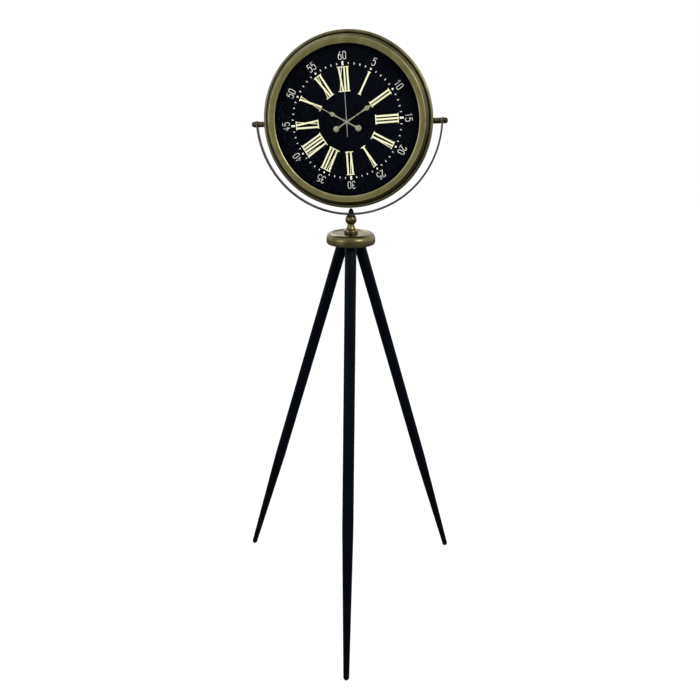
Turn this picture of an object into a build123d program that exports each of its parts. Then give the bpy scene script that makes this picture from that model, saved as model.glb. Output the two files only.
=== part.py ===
from build123d import *
from math import asin, atan2, cos, degrees, hypot, radians, sin, sqrt
import os

# Tripod floor clock. Millimetres, +Z up, the floor at Z = 0, the dial facing -Y.
# The origin is the middle of the ground that the clock covers, and the post stands behind it.
os.makedirs("parts", exist_ok=True)

# How the clock stands at rest, in degrees
yoke_turn = -5.1
yoke_lean = 1.95
case_tilt = -2.3
dial_roll = 3.1
hour_hand_angle = -59.0
minute_hand_angle = 61.0
second_hand_angle = 0.8

# Heights and reach of the stand
foot_circle = 365.0
leg_top_radius = 20.0
head_height = 1058.0
head_rise = 27.0

# Fits
running_fit = 0.05
loose_fit = 0.3
face_gap = 0.15
overrun = 5.0
quarter_turn = 90.0
half_turn = 180.0
full_turn = 360.0

# Legs
leg_radius = 14.6
tip_radius = 7.8
taper_length = 380.0
tip_flat_sink = 0.8
leg_socket_depth = 9.0
hanger_radius = 4.0
hanger_in_leg = 34.0
hanger_in_block = 10.0
insert_radius = 6.0
insert_length = 11.0

# Head
cap_radius = 61.7
cap_wall = 1.2
cap_crest_radius = 47.5
cap_dish_depth = 2.8
cap_dish_radius = 42.0
cap_side_height = 13.0
cap_lip_in = 1.6
cap_lip_height = 4.5
cap_lip_bulge_share = 0.75
cap_roll_share = 0.35
block_radius = 50.0
stud_radius = 3.0
stud_in_block = 11.0

# Post
collar_radius = 17.5
collar_height = 9.8
collar_edge = 2.2
bell_height = 15.0
bell_low_radius = 12.9
bell_top_radius = 8.4
bell_waist_share = 0.72
ball_radius = 14.3
ball_height = 20.4
swivel_washer_radius = 9.9
swivel_washer_thickness = 1.2
cone_nut_radius = 7.0
cone_nut_top_radius = 3.6
cone_nut_height = 11.2
cone_nut_land = 3.0
cone_nut_crown = 1.8
cone_nut_swell_share = 0.12

# Yoke
yoke_gap = 21.3
strap_thickness = 4.2
strap_width = 12.0
strap_centre_rise = 4.4
strap_end_rise = 8.2

# Side pivots
pivot_radius = 2.5
spacer_radius = 7.0
spacer_waist = 6.0
spacer_beads = 3
spacer_collar = 2.6
dome_length = 11.2
dome_cylinder = 4.2
dome_bore_depth = 5.0
inner_washer_radius = 8.0
inner_washer_thickness = 1.2
inner_nut_radius = 4.9
inner_nut_height = 4.0
pivot_inner_end = 2.0

# Case. Depths are forward of its middle plane, near the pivots; what is behind it is negative.
case_radius = 200.0
case_rise = 1.5
case_forward = 1.4
bezel_width = 32.0
ring_width = 14.4
bead_width = 9.4
lip_front = 48.1
lip_depth = 2.0
bezel_wall = 1.6
crest_drop = 1.0
ring_rise = 3.2
steps_back = 25.0
bead_depth = 17.5
bead_start_angle = 20.0
bead_back = 7.0
step_count = 4
step_height = 0.9
drum_wall = 1.2
drum_front = 17.0
drum_back = 34.0
front_flange_width = 38.4
rear_flange_width = 12.4
bezel_slip = 0.2

# Dial, glass and what holds them
glass_thickness = 2.0
glass_overlap = 6.0
rehaut_wall = 4.0
dial_front = 33.0
dial_thickness = 0.8
dial_overlap = 8.0
board_thickness = 4.0
board_overlap = 16.0
pillar_count = 6
pillar_radius = 4.0
screw_radius = 1.5
screw_head_radius = 3.0
screw_head_height = 1.8
cover_thickness = 1.0
cover_step = 1.6
cover_screw_count = 6
cover_screw_bite = 5.0
cover_screw_start = 30.0
pillar_screw_bite = 2.0
access_radius = 62.0
centre_hole_radius = 4.3

# Hour numerals
numeral_outer = 120.4
numeral_inner = 66.6
numeral_height = 1.2
thick_stroke = 3.9
thin_stroke = 1.5
serif_bar = 1.9
serif_overhang = 1.8
stem_pitch = 7.2
vee_width = 11.4
cross_width = 12.2
numeral_words = ("I", "II", "III", "IV", "V", "VI", "VII", "VIII", "IX", "X", "XI", "XII")

# Minute marks
mark_circle = 127.2
mark_height = 0.4
bar_length = 9.2
bar_width = 4.2
dot_radius = 2.2
dash_length = 4.3
dash_width = 1.9
dash_corner = 0.9

# Hands
hand_thickness = 0.6
hand_boss_radius = 3.4
hand_inner_collar = 8.4
hand_stem_width = 2.1
hand_neck_width = 3.0
hand_collar_radius = 2.4
spade_flank_share = 0.8
spade_flank_low_share = 0.167
spade_shoulder_share = 0.55
spade_shoulder_high_share = 0.2
hour_tip = 88.0
hour_collar = 28.0
hour_spade_centre = 38.2
hour_spade_length = 20.0
hour_spade_width = 10.4
hour_disc_centre = 30.5
hour_disc_radius = 6.9
hour_collar_tail = 20.8
minute_tip = 116.0
minute_collar = 44.2
minute_spade_centre = 57.0
minute_spade_length = 22.0
minute_spade_width = 10.8
minute_disc_centre = 29.2
minute_disc_radius = 6.6
minute_collar_tail = 19.6
hand_tip_width = 0.9
second_tip = 121.0
second_tail = 33.0
second_width = 1.5
second_tip_width = 0.8
second_boss_radius = 2.6
second_cap_height = 0.6
hour_hand_front = 36.7
minute_hand_front = 38.1
second_hand_front = 39.5

# Movement housing. Depths in it run back from its front face.
movement_size = 56.0
movement_depth = 16.0
movement_corner = 4.0
housing_wall = 1.2
housing_split = 6.2
pad_thickness = 0.8
pad_radius = 16.0
bush_radius = 4.0
bush_length = 8.2
dial_washer_radius = 8.0
dial_washer_thickness = 0.5
dial_nut_radius = 6.5
dial_nut_height = 2.0
hanger_width = 22.0
hanger_rise = 12.0
hanger_thickness = 2.0
hanger_slot_radius = 2.4
hanger_slot_share = 0.25

# Arbors and tubes
hour_tube_radius = 1.9
minute_tube_radius = 1.15
second_arbor_radius = 0.55
post_radius = 0.4
arbor_wall = 0.35

# Wheels
wheel_thickness = 0.8
first_layer = 1.6
layer_pitch = 1.5
motion_distance = 8.75
train_distance = 9.5
second_distance = 8.75
rotor_distance = 7.5
minute_wheel_direction = 200.0
third_wheel_direction = 90.0
intermediate_direction = -20.0
rotor_direction = 40.0
tooth_height_share = 0.9
root_depth_share = 1.15
wheel_tooth_share = 0.36
pinion_tooth_share = 0.34
tooth_tip_share = 0.5
cannon_teeth, minute_wheel_teeth = 12, 36
minute_pinion_teeth, hour_wheel_teeth = 10, 40
knob_teeth = 14
second_pinion_teeth, third_wheel_teeth = 8, 60
third_pinion_teeth, centre_wheel_teeth = 8, 64
intermediate_pinion_teeth, second_wheel_teeth = 10, 60
rotor_pinion_teeth, intermediate_wheel_teeth = 10, 50

# Setting knob, motor and battery
knob_shaft_radius = 1.2
knob_radius = 6.5
knob_height = 4.2
knob_flutes = 18
knob_flute_radius = 0.5
knob_gap = 1.0
magnet_radius = 3.0
magnet_height = 2.4
stator_gap = 0.4
stator_thickness = 1.0
stator_width = 4.0
coil_radius = 2.3
coil_length = 14.0
coil_offset = 8.6
bobbin_flange = 1.0
bobbin_flange_radius = 2.8
battery_radius = 7.1
battery_length = 49.2
battery_nub_radius = 2.7
battery_nub_length = 1.0
contact_thickness = 0.4
contact_width = 8.0
circuit_board_width = 26.0
circuit_board_height = 12.0
circuit_board_thickness = 1.0
circuit_board_offset = 7.0

# Places worked out from the sizes above
foot_rise = tip_radius - tip_flat_sink
leg_seat_height = head_height + leg_socket_depth
leg_angle = degrees(atan2(foot_circle - leg_top_radius, leg_seat_height - foot_rise))
leg_length = hypot(foot_circle - leg_top_radius, leg_seat_height - foot_rise)
post_back = foot_circle / 4
shoulder_height = head_height + cap_side_height
crest_height = head_height + head_rise
dish_height = crest_height - cap_dish_depth
cap_seat = dish_height - cap_wall
stud_low = cap_seat - stud_in_block
collar_top = dish_height + collar_height
bell_top = collar_top + bell_height
ball_top = bell_top + ball_height
bezel_seat_radius = case_radius - bezel_wall
opening_radius = case_radius - bezel_width
crest_radius = opening_radius + ring_width
groove_radius = case_radius - bead_width
bead_radius = bead_width / 2
drum_radius = bezel_seat_radius
front_flange_inner = drum_radius - front_flange_width
rear_flange_inner = drum_radius - rear_flange_width
cover_radius = drum_radius - cover_step
glass_radius = opening_radius + glass_overlap
dial_radius = opening_radius + dial_overlap
board_radius = opening_radius + board_overlap
pillar_circle = opening_radius + dial_overlap
yoke_radius = case_radius + yoke_gap
pivot_rise = yoke_radius - strap_centre_rise
washer_tilt_gap = swivel_washer_radius * sin(radians(yoke_lean)) + running_fit
nut_tilt_gap = cone_nut_radius * sin(radians(yoke_lean)) + cone_nut_radius**2 / yoke_radius + running_fit
strap_height = ball_top + swivel_washer_thickness + washer_tilt_gap + strap_thickness / 2
nut_seat = strap_height + strap_thickness / 2 + nut_tilt_gap
movement_front = dial_front - dial_thickness - board_thickness - pad_thickness

post_place = Pos(0, post_back, 0)
swivel_place = Pos(0, post_back, strap_height) * Rot(0, 0, yoke_turn) * Rot(0, -yoke_lean, 0)
yoke_place = swivel_place * Pos(0, 0, pivot_rise)
pivot_place = yoke_place * Rot(case_tilt, 0, 0) * Rot(quarter_turn, 0, 0)
case_place = pivot_place * Pos(0, case_rise, case_forward)
dial_place = case_place * Rot(0, 0, dial_roll)


def save(node, *solids):
    """Writes one node, as one solid or as a group of like solids."""
    shape = solids[0] if len(solids) == 1 else Compound(children=list(solids))
    export_step(shape, f"parts/{node}.step")


def tube(outer, inner, height):
    """A ring about Z that stands on Z = 0."""
    ring = extrude(Circle(outer), height)
    return ring - Pos(0, 0, -overrun) * extrude(Circle(inner), height + 2 * overrun)


def disc(radius, height):
    return extrude(Circle(radius), height)


def turned(*edges):
    """A solid of revolution about Z from a closed outline in radius and height."""
    return revolve(Plane.XZ * make_face(edges), Axis.Z)


def crown(radius, low, high):
    """The round end of a turned outline, centred on the axis, from its side up to its top."""
    rise = high - low
    bend = (radius**2 + rise**2) / (2 * rise)
    half = atan2(radius, bend - rise) / 2
    return ThreePointArc((radius, low), (bend * sin(half), high - bend + bend * cos(half)), (0, high))


def around(count, radius, shape, start=0.0):
    """Copies of a shape spaced evenly on a circle about Z."""
    return [Rot(0, 0, start + full_turn * i / count) * Pos(radius, 0, 0) * shape for i in range(count)]


def forward(depth):
    """A place in front of the pivot axis, along the case's own axis."""
    return Pos(0, 0, depth)


# Legs: round wood, straight and then tapering to a rounded tip, with the tip worn flat where it stands
def leg_blank():
    tip_side = tip_radius * sin(radians(45))
    leg = turned(
        Line((0, -tip_radius), (0, leg_length)),
        Line((0, leg_length), (leg_radius, leg_length)),
        Line((leg_radius, leg_length), (leg_radius, taper_length)),
        Line((leg_radius, taper_length), (tip_radius, 0)),
        ThreePointArc((tip_radius, 0), (tip_side, -tip_side), (0, -tip_radius)),
    )
    pilot = Pos(0, 0, leg_length - hanger_in_leg) * disc(hanger_radius, hanger_in_leg + overrun)
    return leg - pilot


def leg_place(azimuth):
    """From the leg's own axis to where it stands, its tip out at the given azimuth from the front."""
    return post_place * Rot(0, 0, azimuth) * Pos(0, -foot_circle, foot_rise) * Rot(-leg_angle, 0, 0)


leg_azimuths = {"leg_front": 0, "leg_right": 120, "leg_left": -120}
ground = Pos(0, 0, -foot_circle) * Box(4 * foot_circle, 4 * foot_circle, 2 * foot_circle)
for node, azimuth in leg_azimuths.items():
    save(node, leg_place(azimuth) * leg_blank() - ground)

hanger_bolt = Pos(0, 0, leg_length - hanger_in_leg) * disc(hanger_radius, hanger_in_leg + hanger_in_block)
save("hanger_bolts", *[leg_place(a) * hanger_bolt for a in leg_azimuths.values()])
insert_blank = Pos(0, 0, leg_length) * disc(insert_radius, insert_length)
insert = Pos(0, 0, leg_length) * tube(insert_radius, hanger_radius, insert_length)
save("threaded_inserts", *[leg_place(a) * insert for a in leg_azimuths.values()])


# Head: a turned block that takes the three legs, under a spun cap with a dished top
def head_block():
    block = Pos(0, post_back, head_height) * disc(block_radius, cap_seat - head_height)
    for azimuth in leg_azimuths.values():
        socket = Pos(0, 0, -leg_length) * disc(leg_radius + loose_fit, 2 * leg_length)
        block -= leg_place(azimuth) * socket
        block -= leg_place(azimuth) * insert_blank
    return block - Pos(0, post_back, stud_low) * disc(stud_radius, stud_in_block + overrun)


def cap_outside():
    """From the lip's edge over the shoulder and the crest down to the dish."""
    bend = cos(radians(45))
    lip = (cap_radius - cap_lip_in, head_height)
    lip_middle = (cap_radius - cap_lip_in * (1 - cap_lip_bulge_share), head_height + cap_lip_height / 2)
    side = (cap_radius, head_height + cap_lip_height)
    shoulder = (cap_radius, shoulder_height)
    crest = (cap_crest_radius, crest_height)
    shoulder_rise = (crest_height - shoulder_height) * bend
    shoulder_run = (cap_radius - cap_crest_radius) * bend
    shoulder_middle = (cap_crest_radius + shoulder_run, shoulder_height + shoulder_rise)
    roll_middle = ((cap_crest_radius + cap_dish_radius) / 2, crest_height - cap_dish_depth * cap_roll_share)
    return [
        ThreePointArc(lip, lip_middle, side),
        Line(side, shoulder),
        ThreePointArc(shoulder, shoulder_middle, crest),
        ThreePointArc(crest, roll_middle, (cap_dish_radius, dish_height)),
    ]


def cap_inside():
    """From the dish in to the stud's hole, then back under the crest to the lip."""
    bend = cos(radians(45))
    bore = stud_radius + loose_fit
    inner = cap_radius - cap_wall
    crest = (cap_crest_radius, crest_height - cap_wall)
    shoulder_rise = (crest_height - cap_wall - shoulder_height) * bend
    shoulder_run = (inner - cap_crest_radius) * bend
    shoulder_middle = (cap_crest_radius + shoulder_run, shoulder_height + shoulder_rise)
    lip = cap_radius - cap_lip_in
    across = [(cap_dish_radius, dish_height), (bore, dish_height), (bore, cap_seat)]
    across += [(cap_dish_radius, cap_seat), crest]
    down = [(inner, shoulder_height), (inner, head_height + cap_lip_height), (lip - cap_wall, head_height)]
    edges = [Line(start, end) for start, end in zip(across, across[1:])]
    edges.append(ThreePointArc(crest, shoulder_middle, (inner, shoulder_height)))
    edges += [Line(start, end) for start, end in zip(down, down[1:])]
    edges.append(Line((lip - cap_wall, head_height), (lip, head_height)))
    return edges


save("head_block", head_block())
save("head_cap", post_place * turned(*cap_outside(), *cap_inside()))


# Post: collar, bell and ball threaded on one stud, with the swivel washer and the cone nut
def post_collar():
    ring = Pos(0, post_back, dish_height) * tube(collar_radius, stud_radius + running_fit, collar_height)
    rims = ring.edges().filter_by(GeomType.CIRCLE).group_by(SortBy.RADIUS)[-1]
    return fillet(rims, collar_edge)


def post_bell():
    bore = stud_radius + running_fit
    waist_radius = bell_low_radius - (bell_low_radius - bell_top_radius) * bell_waist_share
    waist = (waist_radius, collar_top + bell_height / 2)
    return post_place * turned(
        Line((bore, collar_top), (bell_low_radius, collar_top)),
        ThreePointArc((bell_low_radius, collar_top), waist, (bell_top_radius, bell_top)),
        Line((bell_top_radius, bell_top), (bore, bell_top)),
        Line((bore, bell_top), (bore, collar_top)),
    )


def post_ball():
    bore = stud_radius + running_fit
    flat = sqrt(ball_radius**2 - (ball_height / 2) ** 2)
    return post_place * turned(
        Line((bore, bell_top), (flat, bell_top)),
        ThreePointArc((flat, bell_top), (ball_radius, bell_top + ball_height / 2), (flat, ball_top)),
        Line((flat, ball_top), (bore, ball_top)),
        Line((bore, ball_top), (bore, bell_top)),
    )


def cone_nut():
    side_low, side_top = nut_seat + cone_nut_land, nut_seat + cone_nut_height - cone_nut_crown
    swell = cone_nut_swell_share * (cone_nut_radius + cone_nut_top_radius)
    middle = ((cone_nut_radius + cone_nut_top_radius) / 2 + swell / 2, (side_low + side_top) / 2)
    nut = turned(
        Line((0, nut_seat), (cone_nut_radius, nut_seat)),
        Line((cone_nut_radius, nut_seat), (cone_nut_radius, side_low)),
        ThreePointArc((cone_nut_radius, side_low), middle, (cone_nut_top_radius, side_top)),
        crown(cone_nut_top_radius, side_top, nut_seat + cone_nut_height),
        Line((0, nut_seat + cone_nut_height), (0, nut_seat)),
    )
    bore = Pos(0, 0, nut_seat - overrun) * disc(stud_radius, cone_nut_height / 2 + overrun)
    return post_place * (nut - bore)


stud_top = nut_seat + cone_nut_height / 2
save("post_collar", post_collar())
save("post_bell", post_bell())
save("post_ball", post_ball())
save("post_stud", Pos(0, post_back, stud_low) * disc(stud_radius, stud_top - stud_low))
swivel_washer = tube(swivel_washer_radius, stud_radius + running_fit, swivel_washer_thickness)
save("swivel_washer", Pos(0, post_back, ball_top) * swivel_washer)
save("cone_nut", cone_nut())


# Yoke: one flat steel strap on edge, bent to a half circle, with round ends that carry the side pivots
def yoke_strap():
    arc = CenterArc((0, strap_centre_rise), yoke_radius, half_turn, half_turn)
    left, right = (-yoke_radius, strap_centre_rise), (yoke_radius, strap_centre_rise)
    rise = strap_end_rise - strap_centre_rise
    arms = [Line(end, (end[0], end[1] + rise)) for end in (left, right)]
    band = make_face(offset(Wire([arc, *arms]), strap_thickness / 2, kind=Kind.INTERSECTION))
    strap = extrude(Plane.XZ * band, strap_width / 2, both=True)
    return yoke_place * (strap - strap_ends() - strap_holes())


def strap_ends():
    """What is cut away to make each end round about an axis across the strap."""
    half = strap_width / 2
    span = 2 * (yoke_radius + strap_width)
    block = Pos(0, 0, strap_end_rise) * Box(span, 2 * strap_width, strap_width)
    across = Pos(0, 0, strap_end_rise - half) * Rot(0, quarter_turn, 0)
    return block - across * Cylinder(half, span + strap_width)


def strap_holes():
    """The post's upright hole at the bottom and a pivot hole across each end."""
    upright = Pos(0, 0, -pivot_rise) * Rot(0, yoke_lean, 0)
    post_hole = upright * Cylinder(stud_radius + running_fit, strap_width)
    across = Rot(0, quarter_turn, 0) * Cylinder(pivot_radius + running_fit, 2 * yoke_radius + 2 * strap_width)
    return post_hole + across


save("yoke_strap", yoke_strap())

# Side pivots: a stud through the case wall, a beaded spacer, a washer and nut inside and a domed nut outside
spacer_start = drum_radius
strap_inside = yoke_radius - strap_thickness / 2
spacer_end = sqrt(strap_inside**2 - (spacer_radius + strap_centre_rise) ** 2) - face_gap
dome_start = yoke_radius + strap_thickness / 2 + face_gap
inner_face = drum_radius - drum_wall
pivot_start = inner_face - inner_washer_thickness - inner_nut_height - pivot_inner_end


def outward(side, distance):
    """A place along the pivot axis, with Z pointing out from the case."""
    return pivot_place * Rot(0, side * quarter_turn, 0) * Pos(0, 0, distance)


def spacer():
    """A beaded sleeve: plain collar at the case, then a run of round beads to the strap."""
    length = spacer_end - spacer_start
    pitch = (length - spacer_collar) / spacer_beads
    bore = pivot_radius + loose_fit
    edges = [Line((bore, 0), (spacer_radius, 0)), Line((spacer_radius, 0), (spacer_radius, spacer_collar))]
    edges.append(Line((spacer_radius, spacer_collar), (spacer_waist, spacer_collar)))
    for i in range(spacer_beads):
        low = spacer_collar + i * pitch
        top = (spacer_waist, low + pitch)
        edges.append(ThreePointArc((spacer_waist, low), (spacer_radius, low + pitch / 2), top))
    edges += [Line((spacer_waist, length), (bore, length)), Line((bore, length), (bore, 0))]
    return turned(*edges)


def dome_nut():
    """A round-ended nut that closes the pivot stud outside."""
    nut = turned(
        Line((0, 0), (spacer_radius, 0)),
        Line((spacer_radius, 0), (spacer_radius, dome_cylinder)),
        crown(spacer_radius, dome_cylinder, dome_length),
        Line((0, dome_length), (0, 0)),
    )
    return nut - Pos(0, 0, -overrun) * disc(pivot_radius, dome_bore_depth + overrun)


def hex_nut(across_corners, bore, height):
    blank = extrude(RegularPolygon(across_corners, 6), height)
    return blank - Pos(0, 0, -overrun) * disc(bore, height + 2 * overrun)


pivot_length = dome_start + dome_bore_depth - pivot_start
washer = tube(inner_washer_radius, pivot_radius, inner_washer_thickness)
wall_curve = (inner_washer_radius + case_rise) ** 2 / (2 * inner_face)
washer_flat = inner_face - inner_washer_thickness - wall_curve
for side, name in ((-1, "left"), (1, "right")):
    save(f"pivot_spacer_{name}", outward(side, spacer_start) * spacer())
    save(f"dome_nut_{name}", outward(side, dome_start) * dome_nut())
    save(f"pivot_stud_{name}", outward(side, pivot_start) * disc(pivot_radius, pivot_length))
save("pivot_washers", *[outward(s, washer_flat) * washer for s in (-1, 1)])
inner_nut = hex_nut(inner_nut_radius, pivot_radius, inner_nut_height)
save("pivot_nuts", *[outward(s, washer_flat - inner_nut_height) * inner_nut for s in (-1, 1)])


# Case: a spun bezel that slips over a flanged drum, closed behind by a cover with an access hole
def on_bead(radius, angle):
    """A point on the bead's round section, its angle measured back from the outermost point."""
    turn = radians(angle)
    return (case_radius - bead_radius + radius * cos(turn), bead_depth + radius * sin(turn))


def bezel_outside():
    """From the opening out over the ring, down the steps into the groove and over the bead."""
    crest_front = lip_front - crest_drop
    ring_start = (opening_radius, lip_front - ring_rise)
    ring_middle = ((opening_radius + crest_radius) / 2, lip_front)
    edges = [ThreePointArc(ring_start, ring_middle, (crest_radius, crest_front))]
    run = (groove_radius - crest_radius) / step_count
    drop = (crest_front - steps_back) / step_count
    for i in range(step_count):
        start = (crest_radius + i * run, crest_front - i * drop)
        end = (start[0] + run, start[1] - drop)
        middle = (start[0] + run / 2 + step_height, start[1] - drop / 2 + step_height / 2)
        edges.append(ThreePointArc(start, middle, end))
    foot = on_bead(bead_radius, half_turn - bead_start_angle)
    edges.append(Line((groove_radius, steps_back), foot))
    edges.append(ThreePointArc(foot, on_bead(bead_radius, quarter_turn), on_bead(bead_radius, 0)))
    edges.append(Line(on_bead(bead_radius, 0), (case_radius, bead_back)))
    return edges


def bezel_inside():
    """From the bead's back edge up inside the bead and the steps to the glass seat."""
    bead_inner = bead_radius - bezel_wall + bezel_slip
    corner = groove_radius - bezel_wall
    crest_under = lip_front - crest_drop - 2 * bezel_wall
    seat = lip_front - ring_rise - lip_depth
    inner_foot = on_bead(bead_inner, half_turn - bead_start_angle)
    points = [(case_radius, bead_back), (bezel_seat_radius + bezel_slip, bead_back), on_bead(bead_inner, 0)]
    edges = [Line(points[0], points[1]), Line(points[1], points[2])]
    edges.append(ThreePointArc(points[2], on_bead(bead_inner, quarter_turn), inner_foot))
    chain = [inner_foot, (corner, bead_depth), (corner, steps_back - bezel_wall)]
    chain += [(crest_radius - bezel_wall, crest_under), (crest_radius - 2 * bezel_wall, seat)]
    chain += [(opening_radius, seat), (opening_radius, lip_front - ring_rise)]
    edges += [Line(start, end) for start, end in zip(chain, chain[1:])]
    return edges


def drum():
    inner = drum_radius - drum_wall
    shell = forward(-drum_back) * tube(drum_radius, inner, drum_front + drum_back)
    shell += forward(drum_front - drum_wall) * tube(drum_radius, front_flange_inner, drum_wall)
    shell += forward(-drum_back + cover_thickness) * tube(drum_radius, rear_flange_inner, drum_wall)
    rear = shell.edges().filter_by(GeomType.CIRCLE).group_by(Axis.Z)[0].group_by(SortBy.RADIUS)[-1]
    shell = fillet(rear, drum_wall / 2)
    for s in (-1, 1):
        side_hole = Pos(0, 0, inner - overrun) * disc(pivot_radius, drum_wall + 2 * overrun)
        stud_hole = Rot(0, s * quarter_turn, 0) * side_hole
        shell -= Pos(0, -case_rise, -case_forward) * stud_hole
    screw_hole = disc(screw_radius, drum_wall + 2 * overrun)
    for hole in around(pillar_count, pillar_circle, forward(drum_front - drum_wall - overrun) * screw_hole):
        shell -= hole
    rear_hole = forward(-drum_back) * screw_hole
    for hole in around(cover_screw_count, cover_screw_circle, rear_hole, cover_screw_start):
        shell -= hole
    return case_place * shell


glass_back = lip_front - ring_rise - lip_depth - glass_thickness
board_back = dial_front - dial_thickness - board_thickness
pillar_length = board_back - drum_front
cover_screw_circle = (rear_flange_inner + drum_radius - drum_wall) / 2
save("bezel", case_place * turned(*bezel_outside(), *bezel_inside()))
save("case_drum", drum())


def cover_screw():
    """A round-headed screw, its thread from Z = 0 up and its head below."""
    shank = disc(screw_radius, cover_screw_bite)
    return shank + Pos(0, 0, -screw_head_height) * disc(screw_head_radius, screw_head_height)


def back_cover():
    cover = forward(-drum_back) * tube(cover_radius, access_radius, cover_thickness)
    screw_hole = forward(-drum_back - overrun) * disc(screw_radius, cover_thickness + 2 * overrun)
    for hole in around(cover_screw_count, cover_screw_circle, screw_hole, cover_screw_start):
        cover -= hole
    return case_place * cover


save("back_cover", back_cover())
placed_screw = forward(-drum_back) * cover_screw()
cover_screws = around(cover_screw_count, cover_screw_circle, placed_screw, cover_screw_start)
save("cover_screws", *[case_place * screw for screw in cover_screws])

# Dial pack: glass, black spacer ring, dial sheet on a board, carried on pillars from the drum's flange
save("glass", case_place * forward(glass_back) * disc(glass_radius, glass_thickness))
surround = tube(glass_radius, glass_radius - rehaut_wall, glass_back - dial_front)
dial = tube(dial_radius, centre_hole_radius, dial_thickness)
save("dial_surround", case_place * forward(dial_front) * surround)
save("dial", case_place * forward(dial_front - dial_thickness) * dial)


def dial_board():
    board = forward(board_back) * tube(board_radius, centre_hole_radius, board_thickness)
    screw_hole = forward(board_back - overrun) * disc(screw_radius, overrun + pillar_screw_bite)
    for hole in around(pillar_count, pillar_circle, screw_hole):
        board -= hole
    return case_place * board


pillar = forward(drum_front) * tube(pillar_radius, screw_radius, pillar_length)
flange_back = drum_front - drum_wall
pillar_screw = forward(flange_back) * disc(screw_radius, drum_wall + pillar_length + pillar_screw_bite)
pillar_screw += forward(flange_back - screw_head_height) * disc(screw_head_radius, screw_head_height)
save("dial_board", dial_board())
save("dial_pillars", *[case_place * p for p in around(pillar_count, pillar_circle, pillar)])
save("pillar_screws", *[case_place * p for p in around(pillar_count, pillar_circle, pillar_screw)])


# Hour numerals: flat cut letters with one bar across their tops and one across their feet
def stroke(start, end, width):
    """A straight stroke between two points, level at both ends."""
    half = width / 2
    (x, y), (end_x, end_y) = start, end
    corners = [(x - half, y), (x + half, y), (end_x + half, end_y), (end_x - half, end_y)]
    return make_face(Polyline(*corners, close=True))


def numeral(word):
    widths = {"I": stem_pitch, "V": vee_width, "X": cross_width}
    total = sum(widths[letter] for letter in word)
    foot, head = numeral_inner + serif_bar / 2, numeral_outer - serif_bar / 2
    left = -total / 2
    faces = []
    for letter in word:
        width = widths[letter]
        middle = left + width / 2
        thick_side = left + thick_stroke / 2 + thin_stroke
        thin_side = left + width - thick_stroke / 2
        if letter == "I":
            faces.append(stroke((middle, foot), (middle, head), thick_stroke))
        elif letter == "V":
            faces.append(stroke((thick_side, head), (middle, foot), thick_stroke))
            faces.append(stroke((thin_side, head), (middle, foot), thin_stroke))
        else:
            faces.append(stroke((thick_side, head), (thin_side, foot), thick_stroke))
            faces.append(stroke((thin_side, head), (thick_side, foot), thin_stroke))
        left += width
    bar = total - stem_pitch + thick_stroke + 2 * serif_overhang
    for height in (foot, head):
        faces.append(Pos(0, height) * Rectangle(bar, serif_bar))
    letters = Sketch() + faces
    return extrude(letters, numeral_height)


dial_face = dial_place * forward(dial_front)
hour_places = [Rot(0, 0, -30 * (hour + 1)) for hour in range(12)]
save("hour_numerals", *[dial_face * place * numeral(word) for place, word in zip(hour_places, numeral_words)])


def minute_mark(minute):
    if minute % 15 == 0:
        face = Rectangle(bar_width, bar_length)
    elif minute % 5 == 0:
        face = Circle(dot_radius)
    else:
        face = RectangleRounded(dash_width, dash_length, dash_corner)
    return Rot(0, 0, -6 * minute) * Pos(0, mark_circle, 0) * extrude(face, mark_height)


save("minute_marks", *[dial_face * minute_mark(minute) for minute in range(60)])


# Hands: pressed sheet with a spade, turned collars and a round counterweight
def lozenge(centre, length, width):
    """A spade: pointed at both ends and round in the flanks."""
    low, high, half = centre - length / 2, centre + length / 2, width / 2
    flank = centre - length * spade_flank_low_share
    shoulder = centre + length * spade_shoulder_high_share
    edges = []
    for side in (half, -half):
        edges.append(ThreePointArc((0, low), (side * spade_flank_share, flank), (side, centre)))
        edges.append(ThreePointArc((side, centre), (side * spade_shoulder_share, shoulder), (0, high)))
    return make_face(edges)


def taper(low, high, low_width, high_width):
    left, right = (-low_width / 2, low), (low_width / 2, low)
    return make_face(Polyline(left, right, (high_width / 2, high), (-high_width / 2, high), close=True))


def spade_hand(tip, spade, disc_place, collars, bore):
    """A hand that points along +Y: tapered stem, spade, needle tip, collars and tail disc."""
    centre, length, width = spade
    tail, tail_radius = disc_place
    face = Circle(hand_boss_radius)
    face += taper(0, centre, hand_neck_width, hand_stem_width)
    face += lozenge(centre, length, width)
    face += taper(centre, tip, hand_stem_width, hand_tip_width)
    face += taper(-tail, 0, hand_stem_width, hand_neck_width)
    face += Pos(0, -tail) * Circle(tail_radius)
    for place in collars:
        face += Pos(0, place) * Circle(hand_collar_radius)
    return extrude(face - Circle(bore), hand_thickness)


def hand_place(angle, front):
    return dial_place * Rot(0, 0, -angle) * forward(front - hand_thickness)


hour_spade = (hour_spade_centre, hour_spade_length, hour_spade_width)
minute_spade = (minute_spade_centre, minute_spade_length, minute_spade_width)
hour_disc = (hour_disc_centre, hour_disc_radius)
minute_disc = (minute_disc_centre, minute_disc_radius)
hour_collars = (hand_inner_collar, hour_collar, -hour_collar_tail)
minute_collars = (hand_inner_collar, minute_collar, -minute_collar_tail)
hour_hand = spade_hand(hour_tip, hour_spade, hour_disc, hour_collars, hour_tube_radius)
minute_hand = spade_hand(minute_tip, minute_spade, minute_disc, minute_collars, minute_tube_radius)
second_face = taper(0, second_tip, second_width, second_tip_width)
second_face += taper(-second_tail, 0, second_width, second_width)
second_face += Circle(second_boss_radius)
second_hand = extrude(second_face, hand_thickness)
second_hand += disc(second_boss_radius, hand_thickness + second_cap_height)
second_hand -= Pos(0, 0, -overrun) * disc(second_arbor_radius, hand_thickness + overrun)
save("hour_hand", hand_place(hour_hand_angle, hour_hand_front) * hour_hand)
save("minute_hand", hand_place(minute_hand_angle, minute_hand_front) * minute_hand)
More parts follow.
